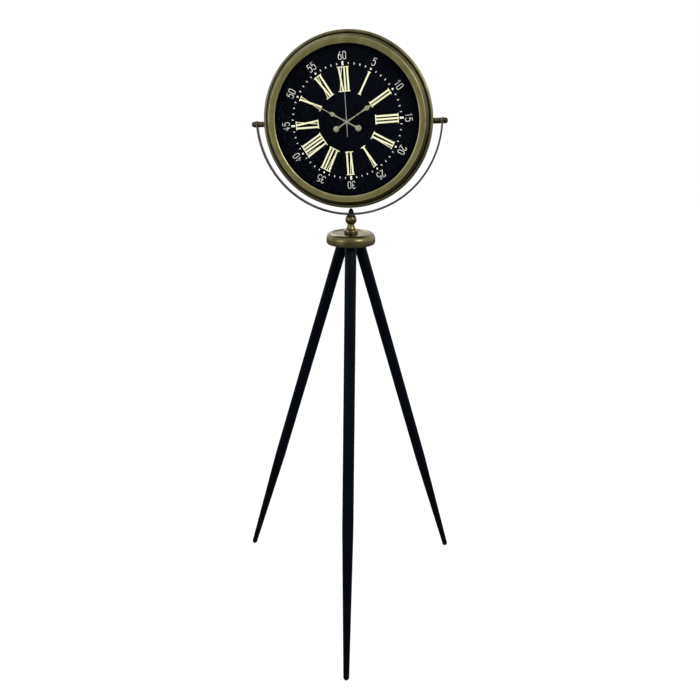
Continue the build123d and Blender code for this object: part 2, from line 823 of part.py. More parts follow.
save("second_hand", hand_place(second_hand_angle, second_hand_front) * second_hand)


# Movement. Its own frame has X right, Y up and Z forward, with Z = 0 at its front face.
movement_place = dial_place * forward(movement_front)


def back(depth):
    """A place behind the movement's front face."""
    return Pos(0, 0, -depth)


def layer(number):
    """The back face of one layer of wheels, counted from the front."""
    return back(first_layer + number * layer_pitch + wheel_thickness)


def at(direction, distance):
    return Pos(distance * cos(radians(direction)), distance * sin(radians(direction)), 0)


def module(distance, teeth, other_teeth):
    return 2 * distance / (teeth + other_teeth)


def gear(teeth, size, tooth_share, phase, bore, thickness):
    """A flat toothed wheel with a tooth centred on the phase angle."""
    pitch_radius = teeth * size / 2
    tip, root = pitch_radius + tooth_height_share * size, pitch_radius - root_depth_share * size
    pitch = full_turn / teeth
    half = pitch * tooth_share / 2
    corners = []
    for i in range(teeth):
        middle = phase + i * pitch
        root_half = half * (1 + (1 - tooth_tip_share) * root_depth_share / tooth_height_share)
        tip_half = half * tooth_tip_share
        for radius, offset in ((root, -root_half), (tip, -tip_half), (tip, tip_half), (root, root_half)):
            angle = radians(middle + offset)
            corners.append((radius * cos(angle), radius * sin(angle)))
    return extrude(make_face(Polyline(*corners, close=True)) - Circle(bore), thickness)


def mesh_phase(phase, teeth, direction, other_teeth):
    """The phase of a gear that lies in the given direction and meshes with the first."""
    share = ((direction - phase) * teeth / full_turn) % 1
    return direction + half_turn + (share + 0.5) * full_turn / other_teeth


minute_wheel_at = at(minute_wheel_direction, motion_distance)
third_at = at(third_wheel_direction, train_distance)
intermediate_at = at(intermediate_direction, second_distance)
rotor_at = intermediate_at * at(rotor_direction, rotor_distance)
motion_module = module(motion_distance, cannon_teeth, minute_wheel_teeth)
knob_at = minute_wheel_at * at(minute_wheel_direction, motion_module * (minute_wheel_teeth + knob_teeth) / 2)
hour_module = module(motion_distance, minute_pinion_teeth, hour_wheel_teeth)
centre_module = module(train_distance, third_pinion_teeth, centre_wheel_teeth)
third_module = module(train_distance, second_pinion_teeth, third_wheel_teeth)
second_module = module(second_distance, intermediate_pinion_teeth, second_wheel_teeth)
rotor_module = module(rotor_distance, rotor_pinion_teeth, intermediate_wheel_teeth)

minute_wheel_phase = mesh_phase(0, cannon_teeth, minute_wheel_direction, minute_wheel_teeth)
hour_wheel_phase = mesh_phase(0, minute_pinion_teeth, minute_wheel_direction + half_turn, hour_wheel_teeth)
knob_phase = mesh_phase(minute_wheel_phase, minute_wheel_teeth, minute_wheel_direction, knob_teeth)
third_wheel_phase = mesh_phase(0, second_pinion_teeth, third_wheel_direction, third_wheel_teeth)
third_to_centre = third_wheel_direction + half_turn
centre_wheel_phase = mesh_phase(0, third_pinion_teeth, third_to_centre, centre_wheel_teeth)
pinion_teeth = intermediate_pinion_teeth
intermediate_pinion_phase = mesh_phase(0, second_wheel_teeth, intermediate_direction, pinion_teeth)
rotor_phase = mesh_phase(0, intermediate_wheel_teeth, rotor_direction, rotor_pinion_teeth)

post_bore = post_radius + running_fit
link = layer_pitch - wheel_thickness


def two_stage(front_gear, rear_gear, front_layer):
    """A pinion and a wheel on neighbouring layers, joined by a short hub."""
    hub = layer(front_layer) * Pos(0, 0, -link) * tube(post_bore + arbor_wall, post_bore, link)
    return layer(front_layer) * front_gear + hub + layer(front_layer + 1) * rear_gear


def wheel(teeth, size, phase, bore):
    return gear(teeth, size, wheel_tooth_share, phase, bore, wheel_thickness)


def pinion(teeth, size, phase, bore):
    return gear(teeth, size, pinion_tooth_share, phase, bore, wheel_thickness)


def hour_wheel():
    """The hour wheel and its tube, which carries the hour hand."""
    bore = minute_tube_radius + running_fit
    reach = first_layer + wheel_thickness + hour_hand_front - movement_front
    toothed = wheel(hour_wheel_teeth, hour_module, hour_wheel_phase, bore)
    return layer(0) * (toothed + tube(hour_tube_radius, bore, reach))


def minute_tube():
    """The cannon pinion and its tube, which carries the minute hand and, by friction, the centre wheel."""
    bore = second_arbor_radius + running_fit
    depth = first_layer + 2 * layer_pitch + wheel_thickness + running_fit
    cannon = layer(1) * pinion(cannon_teeth, motion_module, 0, bore)
    return cannon + back(depth) * tube(minute_tube_radius, bore, depth + minute_hand_front - movement_front)


def second_wheel():
    """The second wheel and its pinion on the solid arbor that carries the second hand."""
    driven = layer(4) * wheel(second_wheel_teeth, second_module, 0, second_arbor_radius / 2)
    driving = layer(3) * pinion(second_pinion_teeth, third_module, 0, second_arbor_radius / 2)
    low = movement_depth - housing_wall / 2
    return driven + driving + back(low) * disc(second_arbor_radius, low + second_hand_front - movement_front)


minute_wheel = two_stage(
    pinion(minute_pinion_teeth, hour_module, 0, post_bore),
    wheel(minute_wheel_teeth, motion_module, minute_wheel_phase, post_bore), 0)
third_wheel = two_stage(
    pinion(third_pinion_teeth, centre_module, 0, post_bore),
    wheel(third_wheel_teeth, third_module, third_wheel_phase, post_bore), 2)
intermediate_wheel = two_stage(
    pinion(intermediate_pinion_teeth, second_module, intermediate_pinion_phase, post_bore),
    wheel(intermediate_wheel_teeth, rotor_module, 0, post_bore), 4)
centre_bore = minute_tube_radius + running_fit
centre_wheel = layer(2) * wheel(centre_wheel_teeth, centre_module, centre_wheel_phase, centre_bore)
save("hour_wheel", movement_place * hour_wheel())
save("minute_tube", movement_place * minute_tube())
save("centre_wheel", movement_place * centre_wheel)
save("second_wheel", movement_place * second_wheel())
save("minute_wheel", movement_place * minute_wheel_at * minute_wheel)
save("third_wheel", movement_place * third_at * third_wheel)
save("intermediate_wheel", movement_place * intermediate_at * intermediate_wheel)

# Motor: a magnet rotor in the hole of a flat stator, whose coil sits on one limb
magnet_back = first_layer + 5 * layer_pitch + wheel_thickness + link + magnet_height
rotor = layer(5) * pinion(rotor_pinion_teeth, rotor_module, rotor_phase, post_bore)
rotor += layer(5) * Pos(0, 0, -link) * tube(post_bore + arbor_wall, post_bore, link)
rotor += back(magnet_back) * tube(magnet_radius, post_bore, magnet_height)
save("rotor", movement_place * rotor_at * rotor)

stator_back = magnet_back - (magnet_height - stator_thickness) / 2
limb_at = rotor_at * Pos(coil_offset, 0, 0)
stator_height = coil_length + 2 * bobbin_flange + 2 * stator_width


def stator():
    """A flat yoke: one limb round the rotor, one through the coil, joined at both ends."""
    middle = rotor_at * Pos(coil_offset / 2, 0, 0)
    width = coil_offset + stator_width
    pole = magnet_radius + stator_gap + stator_width / 2
    window = Rectangle(width - 2 * stator_width, stator_height - 2 * stator_width)
    outline = Rectangle(width, stator_height) - window
    plate = middle * extrude(outline, stator_thickness) + rotor_at * disc(pole, stator_thickness)
    hole = disc(magnet_radius + stator_gap, stator_thickness + 2 * overrun)
    return back(stator_back) * (plate - rotor_at * Pos(0, 0, -overrun) * hole)


def coil():
    """A bobbin with its winding, round the stator's outer limb."""
    winding = Cylinder(coil_radius, coil_length)
    for s in (-1, 1):
        flange_at = Pos(0, 0, s * (coil_length + bobbin_flange) / 2)
        winding += flange_at * Cylinder(bobbin_flange_radius, bobbin_flange)
    middle = back(stator_back - stator_thickness / 2) * limb_at
    return middle * Rot(quarter_turn, 0, 0) * winding - stator_blank


stator_blank = stator()
save("stator", movement_place * stator_blank)
save("coil", movement_place * coil())


def setting_knob():
    """The knob behind the movement, its shaft and the pinion that turns the minute wheel."""
    gear_end = layer(1) * pinion(knob_teeth, motion_module, knob_phase, knob_shaft_radius / 2)
    low = first_layer + layer_pitch
    knob = disc(knob_radius, knob_height)
    groove = Pos(0, 0, -overrun) * disc(knob_flute_radius, knob_height + 2 * overrun)
    for flute in around(knob_flutes, knob_radius, groove):
        knob -= flute
    end = movement_depth + knob_gap
    return gear_end + back(end) * disc(knob_shaft_radius, end - low) + back(end + knob_height) * knob


save("setting_knob", movement_place * knob_at * setting_knob())

# Movement housing, with the posts that the wheels turn on, the battery and its contacts
battery_at = Pos(0, -(movement_size / 2 - housing_wall - battery_radius - loose_fit), 0)
battery_middle = movement_depth - battery_radius - loose_fit
battery_place = battery_at * back(battery_middle) * Rot(0, quarter_turn, 0)


def housing_half(low, depth, floor_at):
    """Half of the square housing: a plate with a wall round it."""
    outside = RectangleRounded(movement_size, movement_size, movement_corner)
    inner = movement_size - 2 * housing_wall
    inside = RectangleRounded(inner, inner, movement_corner - housing_wall)
    return back(low + depth) * extrude(outside, depth) - back(floor_at) * extrude(inside, depth - housing_wall)


def battery_blank():
    bay = Cylinder(battery_radius + loose_fit, movement_size - 2 * housing_wall)
    return battery_place * bay


def movement_front_half():
    shape = housing_half(0, housing_split, housing_split)
    shape += disc(bush_radius, bush_length)
    shape -= back(overrun) * disc(hour_tube_radius + running_fit, bush_length + 2 * overrun)
    post_end = first_layer + layer_pitch + wheel_thickness
    shape += minute_wheel_at * back(post_end) * disc(post_radius, post_end - housing_wall / 2)
    return shape - battery_blank()


def movement_back_half():
    shape = housing_half(housing_split, movement_depth - housing_split, movement_depth - housing_wall)
    floor_depth = movement_depth - housing_wall / 2
    for place, top_layer in ((third_at, 2), (intermediate_at, 4), (rotor_at, 5)):
        reach = floor_depth - first_layer - top_layer * layer_pitch
        shape += place * back(floor_depth) * disc(post_radius, reach)
    shape -= back(floor_depth + running_fit) * disc(second_arbor_radius + running_fit, housing_wall)
    shape -= knob_at * back(movement_depth + overrun) * disc(knob_shaft_radius + running_fit, 2 * overrun)
    opening = Box(battery_length + loose_fit, 2 * battery_radius, 2 * overrun)
    return shape - battery_at * back(movement_depth) * opening - battery_blank()


def battery():
    cell = Cylinder(battery_radius, battery_length)
    nub_place = Pos(0, 0, (battery_length + battery_nub_length) / 2)
    cell += nub_place * Cylinder(battery_nub_radius, battery_nub_length)
    return battery_place * Pos(0, 0, -battery_nub_length / 2) * cell


def battery_contact(side):
    """A spring strip that stands against the housing wall at one end of the cell."""
    wall = movement_size / 2 - housing_wall - contact_thickness / 2
    strip = Box(contact_thickness, contact_width, battery_radius)
    return battery_at * back(battery_middle) * Pos(side * wall, 0, 0) * strip


def hanger():
    """The moulded hanger plate clamped between the pad and the movement's top edge."""
    plate = Rectangle(hanger_width, hanger_rise)
    plate -= Pos(0, hanger_rise * hanger_slot_share) * Circle(hanger_slot_radius)
    return Pos(0, (movement_size + hanger_rise) / 2, -hanger_thickness) * extrude(plate, hanger_thickness)


pad = tube(pad_radius, bush_radius, pad_thickness)
back_wall = housing_wall - movement_depth
washer_front = dial_front + dial_washer_thickness
board_top = movement_size / 2 - housing_wall - loose_fit
board_place = Pos(-circuit_board_offset, board_top - circuit_board_height / 2, back_wall)
save("movement_front", movement_place * (movement_front_half() + hanger()))
save("movement_back", movement_place * movement_back_half())
save("battery", movement_place * battery())
save("battery_contacts", *[movement_place * battery_contact(s) for s in (-1, 1)])
circuit_board = extrude(Rectangle(circuit_board_width, circuit_board_height), circuit_board_thickness)
save("circuit_board", movement_place * board_place * circuit_board)
save("rubber_pad", movement_place * pad)
save("dial_washer", dial_face * tube(dial_washer_radius, bush_radius, dial_washer_thickness))
save("dial_nut", dial_place * forward(washer_front) * hex_nut(dial_nut_radius, bush_radius, dial_nut_height))
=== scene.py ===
from math import atan2, cos, hypot, pi, radians, sin, sqrt

import bpy
from mathutils import Matrix, Vector


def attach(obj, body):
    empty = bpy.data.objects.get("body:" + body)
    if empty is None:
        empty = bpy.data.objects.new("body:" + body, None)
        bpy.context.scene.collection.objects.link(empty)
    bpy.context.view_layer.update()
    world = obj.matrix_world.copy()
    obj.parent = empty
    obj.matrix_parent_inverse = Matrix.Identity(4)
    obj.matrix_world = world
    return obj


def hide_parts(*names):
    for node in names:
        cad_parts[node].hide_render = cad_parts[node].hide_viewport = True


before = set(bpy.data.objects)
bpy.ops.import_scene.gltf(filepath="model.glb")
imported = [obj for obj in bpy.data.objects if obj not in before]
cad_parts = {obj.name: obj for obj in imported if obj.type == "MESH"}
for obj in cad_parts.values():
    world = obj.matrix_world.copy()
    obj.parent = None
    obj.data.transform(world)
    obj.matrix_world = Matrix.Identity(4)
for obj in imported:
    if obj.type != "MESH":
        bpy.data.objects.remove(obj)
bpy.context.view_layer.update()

mm = 0.001

# Camera. It looks a little down at the clock from in front, with a moderate wide lens.
# Its shift only puts the clock where the photograph has it in the square frame.
camera_at = Vector((0.02288, -1.58167, 1.43108))
look_down, look_aside, camera_roll = radians(20.6111), radians(-0.2283), radians(-0.5448)
forward = Vector((sin(look_aside) * cos(look_down), cos(look_aside) * cos(look_down), -sin(look_down)))
level_right = Vector((cos(look_aside), -sin(look_aside), 0))
level_down = forward.cross(level_right)
right = level_right * cos(camera_roll) + level_down * sin(camera_roll)
down = level_down * cos(camera_roll) - level_right * sin(camera_roll)
bpy.ops.object.select_all(action="DESELECT")
bpy.ops.object.camera_add(location=camera_at)
camera = bpy.context.active_object
camera.name = "camera"
turn = Matrix((right, -down, -forward)).transposed()
camera.matrix_world = Matrix.Translation(camera_at) @ turn.to_4x4()
camera.data.sensor_width = 36
camera.data.lens = 34.532
camera.data.shift_x = -0.00911
camera.data.shift_y = -0.01756
camera.data.clip_end = 60
bpy.context.scene.camera = camera
bpy.context.scene.view_settings.view_transform = "Standard"


# Studio. A white room that shows white behind the clock, with its darker side behind the camera,
# one large soft lamp high on the right, a weaker one on the left and one behind for the edges.
def aim(lamp, target):
    """Turns the lamp to shine at a place."""
    lamp.rotation_euler = (Vector(target) - lamp.location).to_track_quat("-Z", "Y").to_euler()


world = bpy.data.worlds.new("studio")
bpy.context.scene.world = world
world.use_nodes = True
nodes, links = world.node_tree.nodes, world.node_tree.links
nodes.clear()
output = nodes.new("ShaderNodeOutputWorld")
light_path = nodes.new("ShaderNodeLightPath")
direction = nodes.new("ShaderNodeTexCoord")
axes = nodes.new("ShaderNodeSeparateXYZ")
depth_shade = nodes.new("ShaderNodeMapRange")
depth_shade.inputs["From Min"].default_value = -0.9
depth_shade.inputs["From Max"].default_value = 0.3
depth_shade.inputs["To Min"].default_value = 0.55
depth_shade.inputs["To Max"].default_value = 1.0
soft, seen, mirrored = [nodes.new("ShaderNodeBackground") for _ in range(3)]
soft.inputs["Strength"].default_value = 0.62
seen.inputs["Strength"].default_value = 1.0
for background in (soft, seen, mirrored):
    background.inputs["Color"].default_value = (1, 1, 1, 1)
glossy_or_clear = nodes.new("ShaderNodeMath")
glossy_or_clear.operation = "MAXIMUM"
pick_mirrored, pick_seen = nodes.new("ShaderNodeMixShader"), nodes.new("ShaderNodeMixShader")
links.new(direction.outputs["Generated"], axes.inputs[0])
links.new(axes.outputs["Y"], depth_shade.inputs["Value"])
links.new(depth_shade.outputs["Result"], mirrored.inputs["Strength"])
links.new(light_path.outputs["Is Glossy Ray"], glossy_or_clear.inputs[0])
links.new(light_path.outputs["Is Transmission Ray"], glossy_or_clear.inputs[1])
links.new(glossy_or_clear.outputs[0], pick_mirrored.inputs["Fac"])
links.new(soft.outputs[0], pick_mirrored.inputs[1])
links.new(mirrored.outputs[0], pick_mirrored.inputs[2])
links.new(light_path.outputs["Is Camera Ray"], pick_seen.inputs["Fac"])
links.new(pick_mirrored.outputs[0], pick_seen.inputs[1])
links.new(seen.outputs[0], pick_seen.inputs[2])
links.new(pick_seen.outputs[0], output.inputs["Surface"])

lit_place = (0, 0.1, 1.25)
for lamp_name, place, size, power in (
    ("key_lamp", (1.5, -1.5, 2.5), 1.1, 26),
    ("fill_lamp", (-1.9, -1.6, 1.6), 1.4, 9),
    ("edge_lamp", (-0.6, 2.0, 2.6), 1.2, 14),
):
    bpy.ops.object.light_add(type="AREA", location=place)
    lamp = bpy.context.active_object
    lamp.name = lamp_name
    lamp.data.size = size
    lamp.data.energy = power
    aim(lamp, lit_place)


# Floor. A plain pale floor just under the feet. It is matt and glows a little for the camera, so that it runs
# into the white behind and keeps a faint shadow, and polished metal mirrors it darker.
floor_side, floor_gap = 14, 0.4 * mm
bpy.ops.mesh.primitive_plane_add(size=floor_side, location=(0, 0, -floor_gap))
floor = bpy.context.active_object
floor.name = "floor"
floor_paint = bpy.data.materials.new("floor_paint")
floor_paint.use_nodes = True
nodes, links = floor_paint.node_tree.nodes, floor_paint.node_tree.links
matt = nodes["Principled BSDF"]
matt.inputs["Base Color"].default_value = (0.55, 0.55, 0.55, 1)
matt.inputs["Roughness"].default_value = 0.9
matt.inputs["Specular IOR Level"].default_value = 0.0
glow = nodes.new("ShaderNodeEmission")
glow.inputs["Strength"].default_value = 1.5
share = nodes.new("ShaderNodeMath")
share.operation = "MULTIPLY"
share.inputs[1].default_value = 0.6
light_path = nodes.new("ShaderNodeLightPath")
blend = nodes.new("ShaderNodeMixShader")
links.new(light_path.outputs["Is Camera Ray"], share.inputs[0])
links.new(share.outputs[0], blend.inputs["Fac"])
links.new(matt.outputs[0], blend.inputs[1])
links.new(glow.outputs[0], blend.inputs[2])
shade = nodes.new("ShaderNodeEmission")
shade.inputs["Strength"].default_value = 0.2
pick = nodes.new("ShaderNodeMixShader")
links.new(light_path.outputs["Is Glossy Ray"], pick.inputs["Fac"])
links.new(blend.outputs[0], pick.inputs[1])
links.new(shade.outputs[0], pick.inputs[2])
links.new(pick.outputs[0], nodes["Material Output"].inputs["Surface"])
floor.data.materials.append(floor_paint)


# Legs. Three round hardwood legs, painted satin black, straight and then tapering to a round tip
# that is worn flat on the floor. Each screws up into the head on a hanger bolt.
def arc_points(start, through, end, count):
    """Points on the arc through three points of an outline, the first one left out."""
    (ax, ay), (bx, by), (cx, cy) = start, through, end
    d = 2 * (ax * (by - cy) + bx * (cy - ay) + cx * (ay - by))
    a2, b2, c2 = ax * ax + ay * ay, bx * bx + by * by, cx * cx + cy * cy
    ox = (a2 * (by - cy) + b2 * (cy - ay) + c2 * (ay - by)) / d
    oy = (a2 * (cx - bx) + b2 * (ax - cx) + c2 * (bx - ax)) / d
    first, last = atan2(ay - oy, ax - ox), atan2(cy - oy, cx - ox)
    middle = atan2(by - oy, bx - ox)
    sweep = (last - first) % (2 * pi)
    if (middle - first) % (2 * pi) > sweep:
        sweep -= 2 * pi
    reach = hypot(ax - ox, ay - oy)
    return [(ox + reach * cos(first + sweep * i / count), oy + reach * sin(first + sweep * i / count))
            for i in range(1, count + 1)]


def turn_on_lathe(name, outline, steps):
    """Draws an outline of radius and height, in millimetres, and spins it round the Z axis."""
    bpy.ops.object.select_all(action="DESELECT")
    bpy.ops.mesh.primitive_plane_add(size=mm)
    piece = bpy.context.active_object
    piece.name = name
    bpy.ops.object.mode_set(mode="EDIT")
    bpy.ops.mesh.select_all(action="SELECT")
    bpy.ops.mesh.merge(type="CENTER")
    bpy.ops.transform.translate(value=(outline[0][0] * mm, 0, outline[0][1] * mm))
    for (r, z), (next_r, next_z) in zip(outline, outline[1:]):
        step = ((next_r - r) * mm, 0, (next_z - z) * mm)
        bpy.ops.mesh.extrude_vertices_move(TRANSFORM_OT_translate={"value": step})
    bpy.ops.mesh.select_all(action="SELECT")
    bpy.ops.mesh.spin(steps=steps, angle=2 * pi, center=(0, 0, 0), axis=(0, 0, 1))
    bpy.ops.mesh.select_all(action="SELECT")
    bpy.ops.mesh.remove_doubles(threshold=0.008 * mm)
    bpy.ops.mesh.normals_make_consistent(inside=False)
    bpy.ops.object.mode_set(mode="OBJECT")
    return piece


def only(piece):
    """Selects this piece and nothing else."""
    bpy.ops.object.select_all(action="DESELECT")
    piece.select_set(True)
    bpy.context.view_layer.objects.active = piece


def soften(piece, width, sharper_than=38, segments=2):
    """Rounds the sharp edges by a bevel and shades the rest smooth."""
    only(piece)
    bevel = piece.modifiers.new("soft edges", "BEVEL")
    bevel.width = width * mm
    bevel.segments = segments
    bevel.limit_method = "ANGLE"
    bevel.angle_limit = radians(sharper_than)
    bpy.ops.object.modifier_apply(modifier=bevel.name)
    bpy.ops.object.shade_smooth_by_angle(angle=radians(35))


def set_down(piece, place):
    """Puts the piece where it belongs and leaves its object at the origin."""
    only(piece)
    piece.matrix_world = place @ piece.matrix_world
    bpy.ops.object.transform_apply(location=True, rotation=True, scale=True)


def fit(piece, paint, body, *stands_for):
    """Paints the piece, lets it move with its body and says which solids it stands for."""
    piece.data.materials.clear()
    piece.data.materials.append(paint)
    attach(piece, body)
    if stands_for:
        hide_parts(*stands_for)


class Finish:
    """One finish: a principled surface, with its patterns on the piece's own coordinates."""

    def __init__(self, name, roughness, metallic=0.0, place=None):
        self.paint = bpy.data.materials.new(name)
        self.paint.use_nodes = True
        self.nodes, self.links = self.paint.node_tree.nodes, self.paint.node_tree.links
        self.shader = self.nodes["Principled BSDF"]
        self.shader.inputs["Roughness"].default_value = roughness
        self.shader.inputs["Metallic"].default_value = metallic
        self.coordinates = self.nodes.new("ShaderNodeTexCoord").outputs["Object"]
        if place is not None:
            back = place.inverted()
            mapping = self.nodes.new("ShaderNodeMapping")
            mapping.inputs["Location"].default_value = back.to_translation()
            mapping.inputs["Rotation"].default_value = back.to_euler("XYZ")
            self.links.new(self.coordinates, mapping.inputs["Vector"])
            self.coordinates = mapping.outputs[0]

    def noise(self, size, detail=4.0, stretch=(1, 1, 1), distortion=0.0):
        """A cloudy pattern whose patches are about this many millimetres across."""
        stretched = self.nodes.new("ShaderNodeMapping")
        stretched.inputs["Scale"].default_value = stretch
        pattern = self.nodes.new("ShaderNodeTexNoise")
        pattern.inputs["Scale"].default_value = 1 / (size * mm)
        pattern.inputs["Detail"].default_value = detail
        pattern.inputs["Distortion"].default_value = distortion
        self.links.new(self.coordinates, stretched.inputs["Vector"])
        self.links.new(stretched.outputs[0], pattern.inputs["Vector"])
        return pattern.outputs["Fac"]

    def ramp(self, value, *stops):
        """A colour that follows a value through (position, colour) stops."""
        ramp = self.nodes.new("ShaderNodeValToRGB")
        while len(ramp.color_ramp.elements) < len(stops):
            ramp.color_ramp.elements.new(0.5)
        for element, (position, colour) in zip(ramp.color_ramp.elements, stops):
            element.position = position
            element.color = (*colour, 1)
        self.links.new(value, ramp.inputs["Fac"])
        return ramp.outputs["Color"]

    def colours(self, value, *stops):
        """Base colour from a value through (position, colour) stops."""
        self.links.new(self.ramp(value, *stops), self.shader.inputs["Base Color"])

    def gloss(self, value, low, high):
        """Roughness that wanders between two levels."""
        spread = self.nodes.new("ShaderNodeMapRange")
        spread.inputs["From Min"].default_value = 0.3
        spread.inputs["From Max"].default_value = 0.7
        spread.inputs["To Min"].default_value = low
        spread.inputs["To Max"].default_value = high
        self.links.new(value, spread.inputs["Value"])
        self.links.new(spread.outputs["Result"], self.shader.inputs["Roughness"])

    def relief(self, value, height, strength=0.5):
        """A fine relief of this height in millimetres, added to what is there."""
        bump = self.nodes.new("ShaderNodeBump")
        bump.inputs["Strength"].default_value = strength
        bump.inputs["Distance"].default_value = height * mm
        self.links.new(value, bump.inputs["Height"])
        before = self.shader.inputs["Normal"]
        if before.is_linked:
            self.links.new(before.links[0].from_socket, bump.inputs["Normal"])
        self.links.new(bump.outputs["Normal"], self.shader.inputs["Normal"])


foot_circle, foot_rise, seat_height, seat_radius = 365, 7, 1067, 20
leg_radius, tip_radius, taper_length = 14.6, 7.8, 380
taper_steps, shaft_steps = 12, 10
leg_lean = atan2(foot_circle - seat_radius, seat_height - foot_rise)
leg_length = hypot(foot_circle - seat_radius, seat_height - foot_rise)
post_axis = Matrix.Translation((0, foot_circle / 4 * mm, 0))
tip_side = tip_radius * sin(radians(45))
leg_outline = [(0, -tip_radius)]
leg_outline += arc_points((0, -tip_radius), (tip_side, -tip_side), (tip_radius, 0), 8)
leg_outline += [(tip_radius + (leg_radius - tip_radius) * t / taper_steps, taper_length * t / taper_steps)
                for t in range(1, taper_steps + 1)]
leg_outline += [(leg_radius, taper_length + (leg_length - taper_length) * t / shaft_steps)
                for t in range(1, shaft_steps + 1)]
leg_outline += [(0, leg_length)]
for node, azimuth in (("leg_front", 0), ("leg_right", 120), ("leg_left", -120)):
    toward_foot = post_axis @ Matrix.Rotation(radians(azimuth), 4, "Z")
    foot = Matrix.Translation((0, -foot_circle * mm, foot_rise * mm))
    stand = toward_foot @ foot @ Matrix.Rotation(-leg_lean, 4, "X")
    leg = turn_on_lathe(node + "_turned", leg_outline, 56)
    soften(leg, width=0.4)
    set_down(leg, stand)
    only(leg)
    bpy.ops.object.mode_set(mode="EDIT")
    bpy.ops.mesh.select_all(action="SELECT")
    bpy.ops.mesh.bisect(plane_co=(0, 0, 0), plane_no=(0, 0, 1), use_fill=True, clear_inner=True)
    bpy.ops.object.mode_set(mode="OBJECT")
    black_paint = Finish(node + "_black_paint", 0.34, place=stand)
    grain = black_paint.noise(3.2, 5, (1, 1, 0.045), 0.4)
    patches = black_paint.noise(60, 3, (1, 1, 0.3))
    black_paint.colours(patches, (0.35, (0.0009, 0.0019, 0.0036)), (0.68, (0.0018, 0.0036, 0.0060)))
    black_paint.gloss(patches, 0.30, 0.40)
    black_paint.relief(grain, 0.08, 0.3)
    black_paint.relief(black_paint.noise(1.1, 2), 0.02, 0.3)
    black_paint.shader.inputs["Specular IOR Level"].default_value = 0.05
    black_paint.shader.inputs["Specular Tint"].default_value = (0.70, 0.85, 1.0, 1)
    fit(leg, black_paint.paint, "stand", node)


# Head block. A sand-cast alloy disc under the cap, bored for the three legs at their slant.
# The cap hides it, and its casting skin is left rough.
def from_solid(name, node, edge, sharper_than=38, segments=2):
    """A copy of a solid's mesh, joined into clean faces, with its sharp edges rounded."""
    piece = bpy.data.objects.new(name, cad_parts[node].data.copy())
    bpy.context.scene.collection.objects.link(piece)
    only(piece)
    bpy.ops.object.mode_set(mode="EDIT")
    bpy.ops.mesh.select_all(action="SELECT")
    bpy.ops.mesh.remove_doubles(threshold=0.002 * mm)
    bpy.ops.mesh.dissolve_limited(angle_limit=radians(0.5))
    bpy.ops.object.mode_set(mode="OBJECT")
    soften(piece, edge, sharper_than, segments)
    return piece


cast_alloy = Finish("cast_alloy", 0.55, 1.0)
cast_alloy.colours(cast_alloy.noise(4, 6), (0.3, (0.30, 0.30, 0.31)), (0.7, (0.48, 0.48, 0.49)))
cast_alloy.relief(cast_alloy.noise(1.4, 5), 0.25, 0.7)
head_block = from_solid("head_block_cast", "head_block", edge=0.5)
fit(head_block, cast_alloy.paint, "stand", "head_block")


# Hanger bolts, threaded inserts and the post's stud. Zinc-plated steel, hidden in the head. The inserts sit
# in the legs' ends, the bolts join them to the block, and the stud carries the post and the yoke.
def paint_solid(node, paint):
    """Gives a hidden solid its finish and leaves its shape as it is."""
    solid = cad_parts[node].data
    solid.materials.clear()
    solid.materials.append(paint)


zinc_plate = Finish("zinc_plate", 0.32, 1.0)
zinc_plate.colours(zinc_plate.noise(2.5, 4), (0.3, (0.50, 0.50, 0.53)), (0.7, (0.66, 0.66, 0.64)))
zinc_plate.gloss(zinc_plate.noise(1.5, 3), 0.24, 0.42)
zinc_plate.relief(zinc_plate.noise(0.6, 2), 0.02, 0.5)
for node in ("hanger_bolts", "threaded_inserts", "post_stud"):
    paint_solid(node, zinc_plate.paint)


# Head cap. A spun brass cap with a rolled lip, a round shoulder and a shallow dished top,
# aged to a dark olive brown that is rubbed lighter on its crest.
def aged_brass(name, place, light, dark, roughness, lathe_lines=0.5, wear=0.25):
    """Antique brass: cloudy patina, bright rubbed edges, dark hollows and fine lathe lines round its axis."""
    brass = Finish(name, roughness, 1.0, place)
    rubbed = brass.nodes.new("ShaderNodeNewGeometry").outputs["Pointiness"]
    clouds = brass.noise(24, 5, distortion=0.4)
    worn = brass.nodes.new("ShaderNodeMapRange")
    worn.inputs["From Min"].default_value = 0.42
    worn.inputs["From Max"].default_value = 0.60
    worn.inputs["To Min"].default_value = -wear
    worn.inputs["To Max"].default_value = wear
    add = brass.nodes.new("ShaderNodeMath")
    brass.links.new(rubbed, worn.inputs["Value"])
    brass.links.new(worn.outputs["Result"], add.inputs[0])
    brass.links.new(clouds, add.inputs[1])
    hollow, rub = [c * 0.4 for c in dark], [c * 1.5 for c in light]
    brass.colours(add.outputs[0], (0.12, hollow), (0.38, dark), (0.66, light), (0.96, rub))
    brass.gloss(brass.noise(11, 3), roughness * 0.85, roughness * 1.2)
    split = brass.nodes.new("ShaderNodeSeparateXYZ")
    flat = brass.nodes.new("ShaderNodeCombineXYZ")
    length = brass.nodes.new("ShaderNodeVectorMath")
    length.operation = "LENGTH"
    rings = brass.nodes.new("ShaderNodeCombineXYZ")
    lines = brass.nodes.new("ShaderNodeTexNoise")
    lines.inputs["Scale"].default_value = 1 / (0.5 * mm)
    lines.inputs["Detail"].default_value = 3
    brass.links.new(brass.coordinates, split.inputs[0])
    brass.links.new(split.outputs["X"], flat.inputs["X"])
    brass.links.new(split.outputs["Y"], flat.inputs["Y"])
    brass.links.new(flat.outputs[0], length.inputs[0])
    brass.links.new(length.outputs["Value"], rings.inputs["X"])
    brass.links.new(split.outputs["Z"], rings.inputs["Y"])
    brass.links.new(rings.outputs[0], lines.inputs["Vector"])
    brass.relief(lines.outputs["Fac"], 0.03, lathe_lines)
    brass.relief(brass.noise(13, 2), 0.05, 0.2)
    brass.radius = length.outputs["Value"]
    return brass


